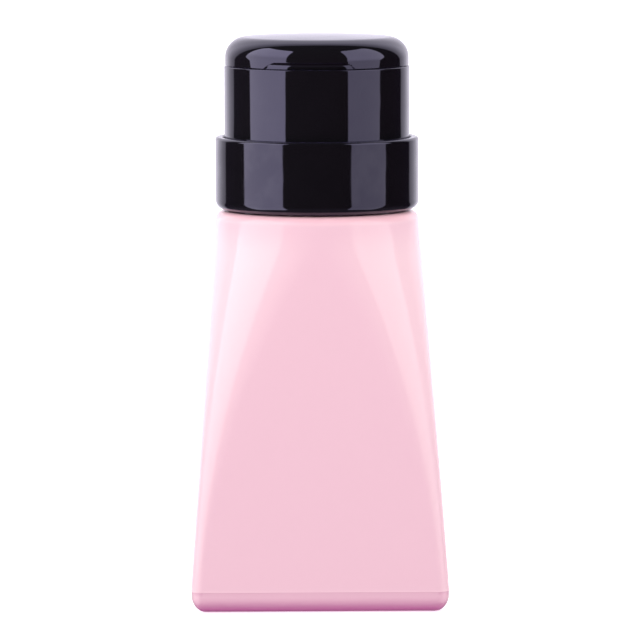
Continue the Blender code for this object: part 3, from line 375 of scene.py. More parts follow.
class StudioSettings(bpy.types.PropertyGroup):
    """Camera and light."""
    distance: FloatProperty(name="Distance", description="Camera's distance along the floor",
                            default=1.5, min=0.5, max=5, unit="LENGTH")
    height: FloatProperty(name="Height", description="Camera's height", default=0.218, min=0, max=2,
                          unit="LENGTH")
    side: FloatProperty(name="Side", description="Camera's turn about the bottle",
                        default=math.radians(-1.2), subtype="ANGLE", unit="ROTATION")
    aim: FloatProperty(name="Aim", description="Height that the camera looks at", default=0.07096,
                       unit="LENGTH")
    roll: FloatProperty(name="Roll", description="Camera's roll", default=math.radians(-0.12),
                        subtype="ANGLE", unit="ROTATION")
    shift: FloatProperty(name="Shift", description="Camera's step to the right", default=0.00067,
                         unit="LENGTH")
    lens: FloatProperty(name="Lens", description="Focal length", default=331.9, unit="CAMERA")
    fill: FloatProperty(name="Fill", description="Brightness of the room", default=0.04, min=0, max=5)
    key: FloatProperty(name="Key", description="Power of the light over the camera", default=0.46, min=0,
                       max=50)
    left_box: FloatProperty(name="Left softbox", description="Brightness of its reflection",
                            default=2.6, min=0, max=20)
    right_box: FloatProperty(name="Right softbox", description="Brightness of its reflection",
                             default=1.48, min=0, max=20)
    backdrop: FloatProperty(name="Backdrop", description="Brightness of its reflection",
                            default=1.4, min=0, max=20)


def select_only(piece):
    """Selects one object and makes it the active one."""
    bpy.ops.object.select_all(action="DESELECT")
    piece.select_set(True)
    bpy.context.view_layer.objects.active = piece


def open_edit(piece):
    """Opens a piece in edit mode with nothing selected."""
    select_only(piece)
    bpy.ops.object.mode_set(mode="EDIT")
    bpy.ops.mesh.select_all(action="DESELECT")


def close_edit():
    """Goes back to object mode."""
    bpy.ops.object.mode_set(mode="OBJECT")


def pick(kind, test):
    """Selects only what passes a test in the open mesh, and returns how many were found."""
    mesh = bpy.context.edit_object.data
    bpy.context.tool_settings.mesh_select_mode = (kind == "verts", kind == "edges", kind == "faces")
    bpy.ops.mesh.select_all(action="DESELECT")
    body = bmesh.from_edit_mesh(mesh)
    found = 0
    for part in getattr(body, kind):
        if test(part):
            part.select_set(True)
            found += 1
    bmesh.update_edit_mesh(mesh)
    return found


def start_mesh(name):
    """Starts a new mesh in edit mode as a small square with all its points selected."""
    bpy.ops.object.select_all(action="DESELECT")
    bpy.ops.mesh.primitive_plane_add(size=START_SIZE)
    piece = bpy.context.object
    piece.name = name
    piece.data.name = name
    bpy.ops.object.mode_set(mode="EDIT")
    bpy.context.tool_settings.mesh_select_mode = (True, False, False)
    bpy.ops.mesh.select_all(action="SELECT")
    return piece


def merge_close():
    """Merges points of the open mesh that lie on each other."""
    bpy.ops.mesh.select_all(action="SELECT")
    bpy.ops.mesh.remove_doubles(threshold=WELD)


def face_outward():
    """Turns all faces of the open mesh outward."""
    bpy.ops.mesh.select_all(action="SELECT")
    bpy.ops.mesh.normals_make_consistent(inside=False)


def draw_outline(name, places, closed):
    """Draws an outline from point to point by extruding."""
    piece = start_mesh(name)
    bpy.ops.mesh.merge(type="CENTER")
    bpy.ops.transform.translate(value=places[0])
    path = places[1:] + places[:1] if closed else places[1:]
    here = places[0]
    for there in path:
        bpy.ops.mesh.extrude_vertices_move(TRANSFORM_OT_translate={"value": there - here})
        here = there
    merge_close()
    return piece


def fill_outline(name, places):
    """Draws a closed outline and fills it with one face."""
    piece = draw_outline(name, places, True)
    bpy.ops.mesh.select_all(action="SELECT")
    bpy.ops.mesh.edge_face_add()
    return piece


def round_corner(before, here, after, radius, segments):
    """Rounds one corner of the open outline."""
    half = (before - here).angle(after - here) / 2
    if pick("verts", lambda point: (point.co - here).length < NEAR) != 1:
        raise RuntimeError("an outline's corner wasn't found")
    bpy.ops.mesh.bevel(offset=radius / math.tan(half), segments=segments, affect="VERTICES")


def turned(name, corners, steps=TURN_STEPS, closed=True):
    """Turns an outline about Z. Corners are (radius, height), with a round as third value."""
    places = [Vector((corner[0], 0, corner[1])) for corner in corners]
    piece = draw_outline(name, places, closed)
    count = len(corners)
    for index, corner in enumerate(corners):
        if len(corner) == 3:
            segments = next(number for least, number in ROUND_SEGMENTS if corner[2] > least)
            round_corner(places[index - 1], places[index], places[(index + 1) % count], corner[2], segments)
    bpy.ops.mesh.select_all(action="SELECT")
    bpy.ops.mesh.spin(steps=steps, angle=math.tau, center=(0, 0, 0), axis=(0, 0, 1), use_auto_merge=True)
    merge_close()
    face_outward()
    close_edit()
    return piece


def plate(name, places, thickness, edge_round=0):
    """Fills an outline and extrudes it, with rounded edges on both faces if asked."""
    piece = fill_outline(name, places)
    bpy.ops.mesh.extrude_region_move(TRANSFORM_OT_translate={"value": thickness})
    face_outward()
    if edge_round:
        along = thickness.normalized()
        levels = (places[0].dot(along), (places[0] + thickness).dot(along))
        pick("edges", lambda edge: any(
            all(abs(point.co.dot(along) - level) < NEAR for point in edge.verts) for level in levels))
        bpy.ops.mesh.bevel(offset=edge_round, segments=EDGE_SEGMENTS, affect="EDGES")
    close_edit()
    return piece


def carve(piece, tool, operation):
    """Applies an exact Boolean and removes the tool."""
    select_only(piece)
    boolean = piece.modifiers.new("Carve", "BOOLEAN")
    boolean.operation = operation
    boolean.solver = "EXACT"
    boolean.object = tool
    bpy.ops.object.modifier_apply(modifier=boolean.name)
    bpy.data.objects.remove(tool)
    return piece


def cylinder(radius, length, place, turn, steps):
    """Adds a cylinder and leaves only it selected."""
    bpy.ops.object.select_all(action="DESELECT")
    bpy.ops.mesh.primitive_cylinder_add(vertices=steps, radius=radius, depth=length, location=place,
                                        rotation=turn)
    return bpy.context.object


def bore(piece, radius, length, place, turn=(0, 0, 0), steps=BORE_STEPS):
    """Drills a round hole through a piece."""
    return carve(piece, cylinder(radius, length, place, turn, steps), "DIFFERENCE")


def finish_mesh(piece):
    """Shades a finished mesh smooth, with flat faces kept flat."""
    select_only(piece)
    bpy.ops.object.shade_smooth_by_angle(angle=SHARP_ANGLE)
    weighted = piece.modifiers.new("Shading", "WEIGHTED_NORMAL")
    weighted.keep_sharp = True
    bpy.ops.object.modifier_apply(modifier=weighted.name)
    return piece


def turn_with_head(piece):
    """Turns a piece about Z with the pump head and keeps the object itself unturned."""
    select_only(piece)
    piece.rotation_euler = (0, 0, HEAD_TURN)
    bpy.ops.object.transform_apply(location=True, rotation=True, scale=True)


def place_piece(piece, body, node, title):
    """Gives a finished piece its body and its finish by name, and hides the node it stands for."""
    piece.data.materials.clear()
    piece.data.materials.append(finish(title))
    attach(piece, body)
    if node:
        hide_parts(node)


def add_ribs(piece, name, count, outline):
    """Joins flat ribs to a piece, from one (radius, height) outline repeated round the axis."""
    places = [Vector((radius, -RIB_THICKNESS / 2, height)) for radius, height in outline]
    rib = plate(name, places, Vector((0, RIB_THICKNESS, 0)))
    carve(piece, ring_of(rib, count), "UNION")


def ring_of(piece, count):
    """Turns one rib by half a step and repeats it round the axis."""
    open_edit(piece)
    bpy.ops.mesh.select_all(action="SELECT")
    bpy.ops.transform.rotate(value=-math.pi / count, orient_axis="Z", center_override=(0, 0, 0))
    bpy.ops.mesh.spin(steps=count, dupli=True, angle=math.tau, center=(0, 0, 0), axis=(0, 0, 1),
                      use_auto_merge=True)
    merge_close()
    close_edit()
    return piece


def arc(first, last, steps):
    """Returns the cosine and sine of evenly spaced angles from one to another, in degrees."""
    angles = [math.radians(first + (last - first) * step / steps) for step in range(steps + 1)]
    return [(math.cos(angle), math.sin(angle)) for angle in angles]


def hinge_arc(first, last):
    """Returns points on the hinge's barrel between two angles in degrees."""
    return [Vector((0, HINGE_Y + BARREL * across, HINGE_Z + BARREL * up))
            for across, up in arc(first, last, BARREL_POINTS)]


def wind_thread(name, outline, sink):
    """Winds a right-hand thread ridge by extruding its outline round the neck."""
    places = [Vector((radius, 0, height)) for radius, height in outline]
    piece = fill_outline(name, places)
    bpy.ops.transform.translate(value=(sink, 0, 0))
    turn = math.tau * THREAD_TURNS / THREAD_STEPS
    rise = THREAD_PITCH * THREAD_TURNS / THREAD_STEPS
    for step in range(THREAD_STEPS):
        bpy.ops.mesh.extrude_region_move(TRANSFORM_OT_translate={"value": (0, 0, rise)})
        bpy.ops.transform.rotate(value=-turn, orient_axis="Z", center_override=(0, 0, 0))
        change = 0
        if step < THREAD_RUN_IN:
            change = -sink / THREAD_RUN_IN
        elif step >= THREAD_STEPS - THREAD_RUN_IN:
            change = sink / THREAD_RUN_IN
        if change:
            angle = turn * (step + 1)
            bpy.ops.transform.translate(value=(change * math.cos(angle), change * math.sin(angle), 0))
    face_outward()
    close_edit()
    return finish_mesh(piece)


def wind_spring(name):
    """Winds the return spring, with closed end turns, by extruding its wire's section."""
    bottom = SPRING_FOOT + SPRING_WIRE
    open_turns = SPRING_TURNS - 2
    open_pitch = (SPRING_HEAD - SPRING_WIRE - bottom - 2 * SPRING_END_PITCH) / open_turns
    section = [Vector((SPRING_RADIUS + SPRING_WIRE * across, 0, bottom + SPRING_WIRE * up))
               for across, up in arc(0, 360, WIRE_POINTS)[:-1]]
    piece = fill_outline(name, section)
    for step in range(SPRING_TURNS * SPRING_TURN_STEPS):
        at_end = not SPRING_TURN_STEPS <= step < (SPRING_TURNS - 1) * SPRING_TURN_STEPS
        rise = (SPRING_END_PITCH if at_end else open_pitch) / SPRING_TURN_STEPS
        bpy.ops.mesh.extrude_region_move(TRANSFORM_OT_translate={"value": (0, 0, rise)})
        bpy.ops.transform.rotate(value=-math.tau / SPRING_TURN_STEPS, orient_axis="Z",
                                 center_override=(0, 0, 0))
    face_outward()
    close_edit()
    return finish_mesh(piece)


def body_level(sizes, share, inset):
    """Returns half width, corner radius and height of the bottle's straight part."""
    foot_half = sizes.base_width / 2
    half = foot_half + (sizes.top_radius - foot_half) * share
    eased = min(share / ROUND_FROM_SHARE, 1) ** ROUNDING_POWER
    corner = FOOT_CORNER + (half - FOOT_CORNER) * eased
    height = BASE_LINE + (sizes.body_height - SHOULDER_ROUND - BASE_LINE) * share
    return half - inset, max(corner - inset, LEAST_CORNER), height


def foot_levels(sizes, inset, steps):
    """Returns the levels of the foot's roundover and base line, from below up to the side."""
    half = sizes.base_width / 2
    radius = FOOT_ROUND - inset
    widest = half - inset - BASE_STEP - BASE_DRAFT
    places = [(widest - radius * (1 - across), FOOT_ROUND - radius * up)
              for across, up in arc(90, 0, steps)[:-1]]
    places += [(widest, FOOT_ROUND), (half - inset - BASE_STEP, BASE_LINE - BASE_LINE_HEIGHT)]
    return [(side, max(FOOT_CORNER - half + side, LEAST_CORNER), height) for side, height in places]


def shoulder_levels(sizes, inset, steps):
    """Returns the levels of the shoulder's roundover, from the side up to the top."""
    radius = SHOULDER_ROUND - inset
    levels = []
    for across, up in arc(0, 90, steps)[1:]:
        side = sizes.top_radius - SHOULDER_ROUND + radius * across
        levels.append((side, side, sizes.body_height - SHOULDER_ROUND + radius * up))
    return levels


def bottle_levels(sizes):
    """Returns the bottle's sections, from the underside over the neck to the inner floor."""
    band = sizes.base_width / 2 - FOOT_ROUND - STANDING_BAND
    raised = band - PUSH_UP_SLOPE
    top = sizes.body_height
    outside = [(raised, PUSH_UP_CORNER, PUSH_UP), (band, STANDING_CORNER, FLAT_RISE)]
    outside += foot_levels(sizes, 0, ROUND_LEVELS)
    outside += [body_level(sizes, 0, 0), body_level(sizes, BEAD_SHARE, BEAD_STEP)]
    outside += [body_level(sizes, step / BODY_LEVELS, 0) for step in range(1, BODY_LEVELS + 1)]
    outside += shoulder_levels(sizes, 0, ROUND_LEVELS)
    lip = NECK_LIP_ROUND
    eased = lip * NECK_LIP_SHARE
    neck = [
        (NECK_RADIUS + lip, top + FLAT_RISE), (NECK_RADIUS + eased, top + eased),
        (NECK_RADIUS, top + lip), (NECK_RADIUS, NECK_TOP - lip),
        (NECK_RADIUS - eased, NECK_TOP - eased), (NECK_RADIUS - lip, NECK_TOP),
        (NECK_BORE, NECK_TOP - FLAT_RISE), (NECK_BORE, top - BOTTLE_WALL + FLAT_RISE),
    ]
    inside = [(raised, LEAST_CORNER, BOTTLE_WALL + PUSH_UP), (band, LEAST_CORNER, BOTTLE_WALL + FLAT_RISE)]
    inside += foot_levels(sizes, BOTTLE_WALL, INNER_LEVELS // 2)
    inside += [body_level(sizes, step / INNER_LEVELS, BOTTLE_WALL) for step in range(INNER_LEVELS + 1)]
    inside += shoulder_levels(sizes, BOTTLE_WALL, INNER_LEVELS // 2)
    return outside + [(radius, radius, height) for radius, height in neck] + inside[::-1]


def loft_bottle(name, levels):
    """Bridges rounded square sections into one closed shell."""
    piece = start_mesh(name)
    bpy.ops.mesh.delete(type="VERT")
    ring_size = 4 * (CORNER_SEGMENTS + 1)
    for index, (half, corner, height) in enumerate(levels):
        bpy.ops.mesh.select_all(action="DESELECT")
        bpy.ops.mesh.primitive_plane_add(size=2 * half, location=(0, 0, height))
        rounding = min(corner, half - CORNER_MARGIN)
        bpy.ops.mesh.bevel(offset=rounding, segments=CORNER_SEGMENTS, affect="VERTICES")
        bpy.ops.mesh.delete(type="ONLY_FACE")
        if index:
            body = bmesh.from_edit_mesh(piece.data)
            body.verts.ensure_lookup_table()
            first = (index - 1) * ring_size
            pick_rings(body, piece, range(first, first + 2 * ring_size))
            bpy.ops.mesh.bridge_edge_loops(type="SINGLE")
    for height in (levels[0][2], levels[-1][2]):
        limit = max(levels[0][0], levels[-1][0]) + NEAR
        pick("edges", lambda edge: edge.is_boundary and all(
            abs(point.co.z - height) < NEAR and abs(point.co.x) < limit for point in edge.verts))
        bpy.ops.mesh.edge_face_add()
    face_outward()
    close_edit()
    return piece


def pick_rings(body, piece, wanted):
    """Selects the points with these numbers and the open edges between them."""
    bpy.ops.mesh.select_all(action="DESELECT")
    for index in wanted:
        body.verts[index].select = True
    for edge in body.edges:
        if len(edge.link_faces) < 2 and edge.verts[0].select and edge.verts[1].select:
            edge.select = True
    bmesh.update_edit_mesh(piece.data)


# Node groups and finishes
def new_group(name, numbers, output):
    """Makes a shader node group that takes a vector and these numbers and gives one number."""
    group = bpy.data.node_groups.new(name, "ShaderNodeTree")
    group.interface.new_socket("Vector", in_out="INPUT", socket_type="NodeSocketVector")
    for label in numbers:
        group.interface.new_socket(label, in_out="INPUT", socket_type="NodeSocketFloat")
    group.interface.new_socket(output, in_out="OUTPUT", socket_type="NodeSocketFloat")
    given = group.nodes.new("NodeGroupInput").outputs
    return group, given, group.nodes.new("NodeGroupOutput").inputs[output]


def feed(tree, node, inputs):
    """Sets a node's inputs, each to a value or from another node's socket."""
    for label, value in inputs.items():
        if isinstance(value, bpy.types.NodeSocket):
            tree.links.new(value, node.inputs[label])
        else:
            node.inputs[label].default_value = value


def add_node(tree, kind, inputs=None, **settings):
    """Adds a shader node with its settings first and its inputs next."""
    node = tree.nodes.new("ShaderNode" + kind)
    for name, value in settings.items():
        setattr(node, name, value)
    feed(tree, node, inputs or {})
    return node


def maths(tree, operation, *values, clamp=False):
    """Adds a math node and returns its result."""
    node = add_node(tree, "Math", dict(enumerate(values)), operation=operation, use_clamp=clamp)
    return node.outputs[0]


def ramp_between(tree, value, low, high):
    """Adds a smooth map from low..high to 0..1 and returns its result."""
    node = add_node(tree, "MapRange", {"Value": value, "From Min": low, "From Max": high},
                    interpolation_type="SMOOTHSTEP")
    return node.outputs["Result"]


def noise(tree, vector, scale, detail=3.0, roughness=0.5):
    """Adds a noise texture and returns its value."""
    node = add_node(tree, "TexNoise", {"Vector": vector, "Scale": scale, "Detail": detail,
                                       "Roughness": roughness})
    return node.outputs["Fac"]


def mix_colours(tree, share, *colours):
    """Mixes two colours, each a value or a socket, and returns the result."""
    ends = [colour if isinstance(colour, bpy.types.NodeSocket) else (*colour, 1) for colour in colours]
    node = add_node(tree, "Mix", {"Factor": share, "A": ends[0], "B": ends[1]}, data_type="RGBA")
    return node.outputs["Result"]


def make_wave_group():
    """Makes the slow unevenness of a moulded surface, with a fine grain on top."""
    group, given, result = new_group("Moulded surface", ("Wave scale", "Grain share"), "Height")
    slow = noise(group, given["Vector"], given["Wave scale"], 1.0)
    fine = noise(group, given["Vector"], GRAIN_SCALE, 2.0)
    group.links.new(maths(group, "MULTIPLY_ADD", fine, given["Grain share"], slow), result)


def make_wear_group():
    """Makes faint rubbed patches and hairlines as a roughness that is added."""
    group, given, result = new_group("Handling marks", ("Patch amount", "Line amount"), "Roughness")
    place = given["Vector"]
    patches = ramp_between(group, noise(group, place, PATCH_SCALE), *PATCH_SPAN)
    stretch = add_node(group, "Mapping", {"Vector": place, "Rotation": HAIRLINE_TURN,
                                          "Scale": HAIRLINE_STRETCH})
    hairs = noise(group, stretch.outputs["Vector"], HAIRLINE_SCALE, 1.0)
    lines = ramp_between(group, hairs, *HAIRLINE_SPAN)
    first = maths(group, "MULTIPLY", patches, given["Patch amount"])
    group.links.new(maths(group, "MULTIPLY_ADD", lines, given["Line amount"], first), result)


def paint_edge_light(tree, colour, other, span, where):
    """Mixes painted light into a colour in one zone where the surface turns away from the eye: paler for a
    painted reflection, darker for painted shade.
    """
    turned_away = add_node(tree, "LayerWeight").outputs["Facing"]
    share = maths(tree, "MULTIPLY", ramp_between(tree, turned_away, *span), where)
    return mix_colours(tree, share, colour, other)


def paint_light_zones(tree, place, mottled, colour, painted_reflection_share):
    """Paints light into the bottle's colour: a painted reflection pales the sides toward their edges, and
    painted shade darkens the foot's edge and the shoulder under the collar.
    """
    height = add_node(tree, "SeparateXYZ", {"Vector": place}).outputs["Z"]
    below = ramp_between(tree, height, SHADE_END, SHADE_START)
    foot = ramp_between(tree, height, BASE_LINE, FOOT_ROUND)
    # Painted reflection toward white on the sides, painted shade at the foot's edge and on the shoulder.
    painted_reflection_colour = [value + (1 - value) * painted_reflection_share for value in colour]
    painted_foot_shade = [value * FOOT_EDGE_SHADE_SHARE for value in colour]
    shoulder = [value * share for value, share in zip(colour, PAINTED_SHOULDER_SHADE)]
    result = paint_edge_light(tree, mottled, painted_reflection_colour, PAINTED_REFLECTION_SPAN, below)
    result = paint_edge_light(tree, result, painted_foot_shade, FOOT_EDGE_SHADE_SPAN, foot)
    return mix_colours(tree, maths(tree, "SUBTRACT", 1.0, below), result, shoulder)


def finish(name):
    """Returns a finish by its name, and makes it the first time."""
    return bpy.data.materials.get(name) or make_finish(name, **FINISHES[name])


def make_finish(name, paint, roughness, wave, depth, grain, mottle, patches, lines, metallic=0.0,
                specular=0.5, tint=(1, 1, 1), depth_glow=0, lavender_sheen=0, smudge=0, painted_reflection_share=0):
    """Makes one procedural finish from the shared groups."""
    colour = getattr(bpy.context.scene.pump_colours, paint)
    material = bpy.data.materials.new(name)
    material.use_nodes = True
    tree = material.node_tree
    place = add_node(tree, "TexCoord").outputs["Object"]
    surface = add_node(tree, "Group", {"Vector": place, "Wave scale": wave, "Grain share": grain},
                       node_tree=bpy.data.node_groups["Moulded surface"])
    bump = add_node(tree, "Bump", {"Strength": 1.0, "Distance": depth,
                                   "Height": surface.outputs["Height"]})
    wear = add_node(tree, "Group", {"Vector": place, "Patch amount": patches, "Line amount": lines},
                    node_tree=bpy.data.node_groups["Handling marks"])
    second = [value * (1 - mottle) for value in colour]
    result = mix_colours(tree, noise(tree, place, MOTTLE_SCALE), colour, second)
    # The bottle's colour carries painted reflection and painted shade.
    if painted_reflection_share:
        result = paint_light_zones(tree, place, result, colour, painted_reflection_share)
    blotch = noise(tree, place, BLOTCH_SCALE, roughness=BLOTCH_ROUGHNESS)
    feed(tree, tree.nodes["Principled BSDF"], {
        "Base Color": result,
        "Metallic": metallic,
        "Roughness": maths(tree, "ADD", wear.outputs["Roughness"], roughness),
        "Normal": bump.outputs["Normal"],
        "Specular IOR Level": specular,
        "Specular Tint": (*tint, 1),
        # Sheen lit by the room, with the lamps' lavender painted into its tint.
        "Sheen Weight": lavender_sheen,
        "Sheen Roughness": SHEEN_ROUGHNESS,
        "Sheen Tint": (*SHEEN_LAMP_TINT, 1),
        "Coat Weight": maths(tree, "MULTIPLY", ramp_between(tree, blotch, *BLOTCH_SPAN), smudge),
        "Coat Roughness": COAT_ROUGHNESS,
        "Subsurface Weight": depth_glow,
        "Subsurface Scale": GLOW_DEPTH,
    })
    return material


class PUMP_OT_bottle(bpy.types.Operator):
    """Lofts the bottle from a rounded square to a circle, with its neck and thread."""
    bl_idname = "pump.bottle"
    bl_label = "Bottle"

    def execute(self, context):
        """Builds the bottle."""
        sizes = context.scene.pump_sizes
        shell = finish_mesh(loft_bottle("bottle_moulding", bottle_levels(sizes)))
        place_piece(shell, "bottle_body", "bottle", "Pink plastic")
        thread = wind_thread("bottle_thread", BOTTLE_THREAD, -THREAD_SINK)
        place_piece(thread, "bottle_body", None, "Pink plastic")
        return {"FINISHED"}


class PUMP_OT_collar(bpy.types.Operator):
    """Turns the screw collar and adds its ribs and inner thread."""
    bl_idname = "pump.collar"
    bl_label = "Screw collar"

    def execute(self, context):
        """Builds the collar."""
        radius = context.scene.pump_sizes.top_radius
        collar = turned("collar_moulding", [
            (radius, COLLAR_TOP, COLLAR_TOP_ROUND),
            (radius, COLLAR_BOTTOM, COLLAR_FOOT_ROUND),
            (radius - COLLAR_FOOT_WIDTH, COLLAR_BOTTOM, FINE_ROUND),
            (COLLAR_BORE, COLLAR_BOTTOM + COLLAR_FOOT_SLOPE, FINE_ROUND),
            (COLLAR_BORE, WEB_BOTTOM, SMALL_ROUND),
            (SKIRT_RADIUS, WEB_BOTTOM, SMALL_ROUND),
            (SKIRT_RADIUS, SKIRT_BOTTOM, FINE_ROUND),
            (SKIRT_BORE, SKIRT_BOTTOM, FINE_ROUND),
            (SKIRT_BORE, WEB_BOTTOM),
            (WEB_HOLE, WEB_BOTTOM, HAIR_ROUND),
            (WEB_HOLE, WEB_TOP, HAIR_ROUND),
            (COLLAR_BORE, WEB_TOP, SMALL_ROUND),
            (COLLAR_BORE, COLLAR_TOP, SMALL_ROUND),
        ])
        inner = SKIRT_RADIUS - WELD_OVERLAP
        outer = COLLAR_BORE + WELD_OVERLAP
        top = WEB_BOTTOM + WELD_OVERLAP
        bottom = WEB_BOTTOM - COLLAR_RIB_HEIGHT
        add_ribs(collar, "collar_rib", COLLAR_RIBS,
                 [(inner, top), (inner, bottom), (outer, bottom), (outer, top)])
        finish_mesh(collar)
        place_piece(collar, "collar_body", "screw_collar", "Handled black gloss")
        thread = wind_thread("collar_thread", COLLAR_THREAD, THREAD_SINK)
        place_piece(thread, "collar_body", None, "Handled black gloss")
        return {"FINISHED"}


class PUMP_OT_head(bpy.types.Operator):
    """Turns the head's shell and adds the ears of the lid hinge."""
    bl_idname = "pump.head"
    bl_label = "Head shell"

    def execute(self, context):
        """Builds the head."""
        radius = context.scene.pump_sizes.head_radius
        head = turned("head_moulding", [
            (radius, HEAD_TOP, FINE_ROUND),
            (radius, HEAD_BOTTOM, FINE_ROUND),
            (HEAD_BORE, HEAD_BOTTOM, HAIR_ROUND),
            (HEAD_BORE, LEDGE_TOP - LEDGE_DEPTH, HAIR_ROUND),
            (LEDGE_RADIUS, LEDGE_TOP - LEDGE_EDGE, HAIR_ROUND),
            (LEDGE_RADIUS, LEDGE_TOP),
            (HEAD_BORE, LEDGE_TOP),
            (HEAD_BORE, HEAD_TOP, HAIR_ROUND),
        ])
        root = radius - EAR_ROOT
        outline = [Vector((0, root, HEAD_TOP - EAR_DROP)), *hinge_arc(*EAR_ARC),
                   Vector((0, root, HEAD_TOP - ROOT_SETBACK))]
        for side in (-EAR_OUTER, EAR_INNER):
            ear = plate("head_ear", [point + Vector((side, 0, 0)) for point in outline],
                        Vector((EAR_OUTER - EAR_INNER, 0, 0)), HAIR_ROUND)
            carve(head, ear, "UNION")
        bore(head, PIN_BORE, PIN_BORE_LENGTH, HINGE_PLACE, ALONG_HINGE)
        turn_with_head(finish_mesh(head))
        place_piece(head, "pump_head", "head_shell", "Black gloss")
        return {"FINISHED"}


class PUMP_OT_dish(bpy.types.Operator):
    """Turns the dish with its rim, hub and ribs."""
    bl_idname = "pump.dish"
    bl_label = "Dish"

    def execute(self, context):
        """Builds the dish."""
        edge = LEDGE_RADIUS - SEAT_GAP
        edge_under = DISH_EDGE_FLOOR - DISH_FLOOR
        middle_under = DISH_MIDDLE_FLOOR - DISH_FLOOR
        flange_bottom = LEDGE_TOP + SEAT_GAP
        dish = turned("dish_moulding", [
            (DISH_RIM, DISH_RIM_TOP, SMALL_ROUND),
            (DISH_RIM, DISH_BEAD_HEIGHT + DISH_BEAD),
            (DISH_RIM + DISH_BEAD, DISH_BEAD_HEIGHT),
            (DISH_RIM, DISH_BEAD_HEIGHT - DISH_BEAD),
            (DISH_RIM, HEAD_TOP, HAIR_ROUND),
            (DISH_FLANGE, HEAD_TOP, HAIR_ROUND),
            (DISH_FLANGE, flange_bottom),
            (edge, flange_bottom),
            (edge, edge_under, DISH_UNDER_ROUND),
            (HUB_RADIUS, middle_under, HUB_ROOT_ROUND),
            (HUB_RADIUS, HUB_BOTTOM, FINE_ROUND),
            (HUB_BORE, HUB_BOTTOM, HAIR_ROUND),
            (HUB_BORE, STEM_END),
            (BALL_CAGE_RADIUS, STEM_END),
            (BALL_CAGE_RADIUS, BALL_CAGE_TOP),
            (NOZZLE_BORE, BALL_CAGE_TOP),
            (NOZZLE_BORE, NOZZLE_SEAT),
            (NOZZLE_BOSS, NOZZLE_SEAT, FINE_ROUND),
            (NOZZLE_BOSS, DISH_MIDDLE_FLOOR, SMALL_ROUND),
            (DISH_INNER, DISH_EDGE_FLOOR, DISH_FLOOR_ROUND),
            (DISH_INNER, DISH_RIM_TOP, SMALL_ROUND),
        ])
        reach = edge - DISH_FLOOR
        inner = HUB_RADIUS - WELD_OVERLAP
        add_ribs(dish, "dish_rib", DISH_RIBS, [
            (inner, middle_under + WELD_OVERLAP), (inner, middle_under - DISH_RIB_DEPTH),
            (reach, edge_under - WELD_OVERLAP), (reach, edge_under + WELD_OVERLAP),
        ])
        turn_with_head(finish_mesh(dish))
        place_piece(dish, "pump_head", "dish", "Black satin")
        return {"FINISHED"}


class PUMP_OT_nozzle(bpy.types.Operator):
    """Turns the pierced insert in the dish."""
    bl_idname = "pump.nozzle"
    bl_label = "Outlet nozzle"

    def execute(self, context):
        """Builds the nozzle."""
        nozzle = turned("nozzle_insert", [
            (0, NOZZLE_TOP),
            (NOZZLE_FLANGE, NOZZLE_TOP, NOZZLE_ROUND),
            (NOZZLE_FLANGE, NOZZLE_SEAT + SEAT_GAP),
            (NOZZLE_RADIUS, NOZZLE_SEAT + SEAT_GAP),
            (NOZZLE_RADIUS, BALL_CAGE_TOP + SEAT_GAP),
            (NOZZLE_PASSAGE, BALL_CAGE_TOP + SEAT_GAP),
            (NOZZLE_PASSAGE, NOZZLE_TOP - NOZZLE_PLATE),
            (0, NOZZLE_TOP - NOZZLE_PLATE),
        ], SMALL_TURN_STEPS, closed=False)
        places = [(0, 0)]
        for index in range(NOZZLE_HOLES):
            angle = math.tau * (index + 0.5) / NOZZLE_HOLES
            places.append((NOZZLE_HOLE_CIRCLE * math.cos(angle), NOZZLE_HOLE_CIRCLE * math.sin(angle)))
        for x, y in places:
            bore(nozzle, NOZZLE_HOLE, NOZZLE_HOLE_DEPTH, (x, y, NOZZLE_TOP), steps=HOLE_STEPS)
        turn_with_head(finish_mesh(nozzle))
        place_piece(nozzle, "pump_head", "outlet_nozzle", "Milky plastic")
        return {"FINISHED"}


class PUMP_OT_lid(bpy.types.Operator):
    """Turns the flip lid, cuts its thumb notch and adds the hinge knuckle."""
    bl_idname = "pump.lid"
    bl_label = "Flip lid"

    def execute(self, context):
        """Builds the lid."""
        radius = context.scene.pump_sizes.lid_radius
        crown = []
        for step in range(LID_CROWN_STEPS + 1):
            share = LID_CROWN_SHARE * step / LID_CROWN_STEPS
            crown.append((radius * share, LID_TOP + LID_CROWN * (1 - share ** 2)))
        lid = turned("lid_moulding", [
            *crown,
            (radius, LID_TOP, LID_TOP_ROUND),
            (radius, LID_BOTTOM, HAIR_ROUND),
            (LID_BORE, LID_BOTTOM, HAIR_ROUND),
            (LID_BORE, LID_CEILING, LID_TOP_ROUND - LID_WALL),
            (LID_BOSS, LID_CEILING, FINE_ROUND),
            (LID_BOSS, LID_BOSS_BOTTOM, HAIR_ROUND),
            (LID_BOSS_BORE, LID_BOSS_BOTTOM, HAIR_ROUND),
            (LID_BOSS_BORE, LID_CEILING),
            (0, LID_CEILING),
        ], closed=False)
        carve(lid, notch_cutter(radius), "DIFFERENCE")
        soften_notch(lid, radius)
        root = radius - KNUCKLE_ROOT
        outline = [Vector((0, root, LID_BOTTOM + ROOT_SETBACK)), *hinge_arc(*KNUCKLE_ARC),
                   Vector((0, root, LID_BOTTOM + KNUCKLE_RISE))]
        knuckle = plate("lid_knuckle", [point - Vector((LID_KNUCKLE, 0, 0)) for point in outline],
                        Vector((2 * LID_KNUCKLE, 0, 0)), HAIR_ROUND)
        carve(lid, knuckle, "UNION")
        bore(lid, PIN_BORE, PIN_BORE_LENGTH, HINGE_PLACE, ALONG_HINGE)
        turn_with_head(finish_mesh(lid))
        place_piece(lid, "flip_lid", "lid", "Black gloss")
        return {"FINISHED"}


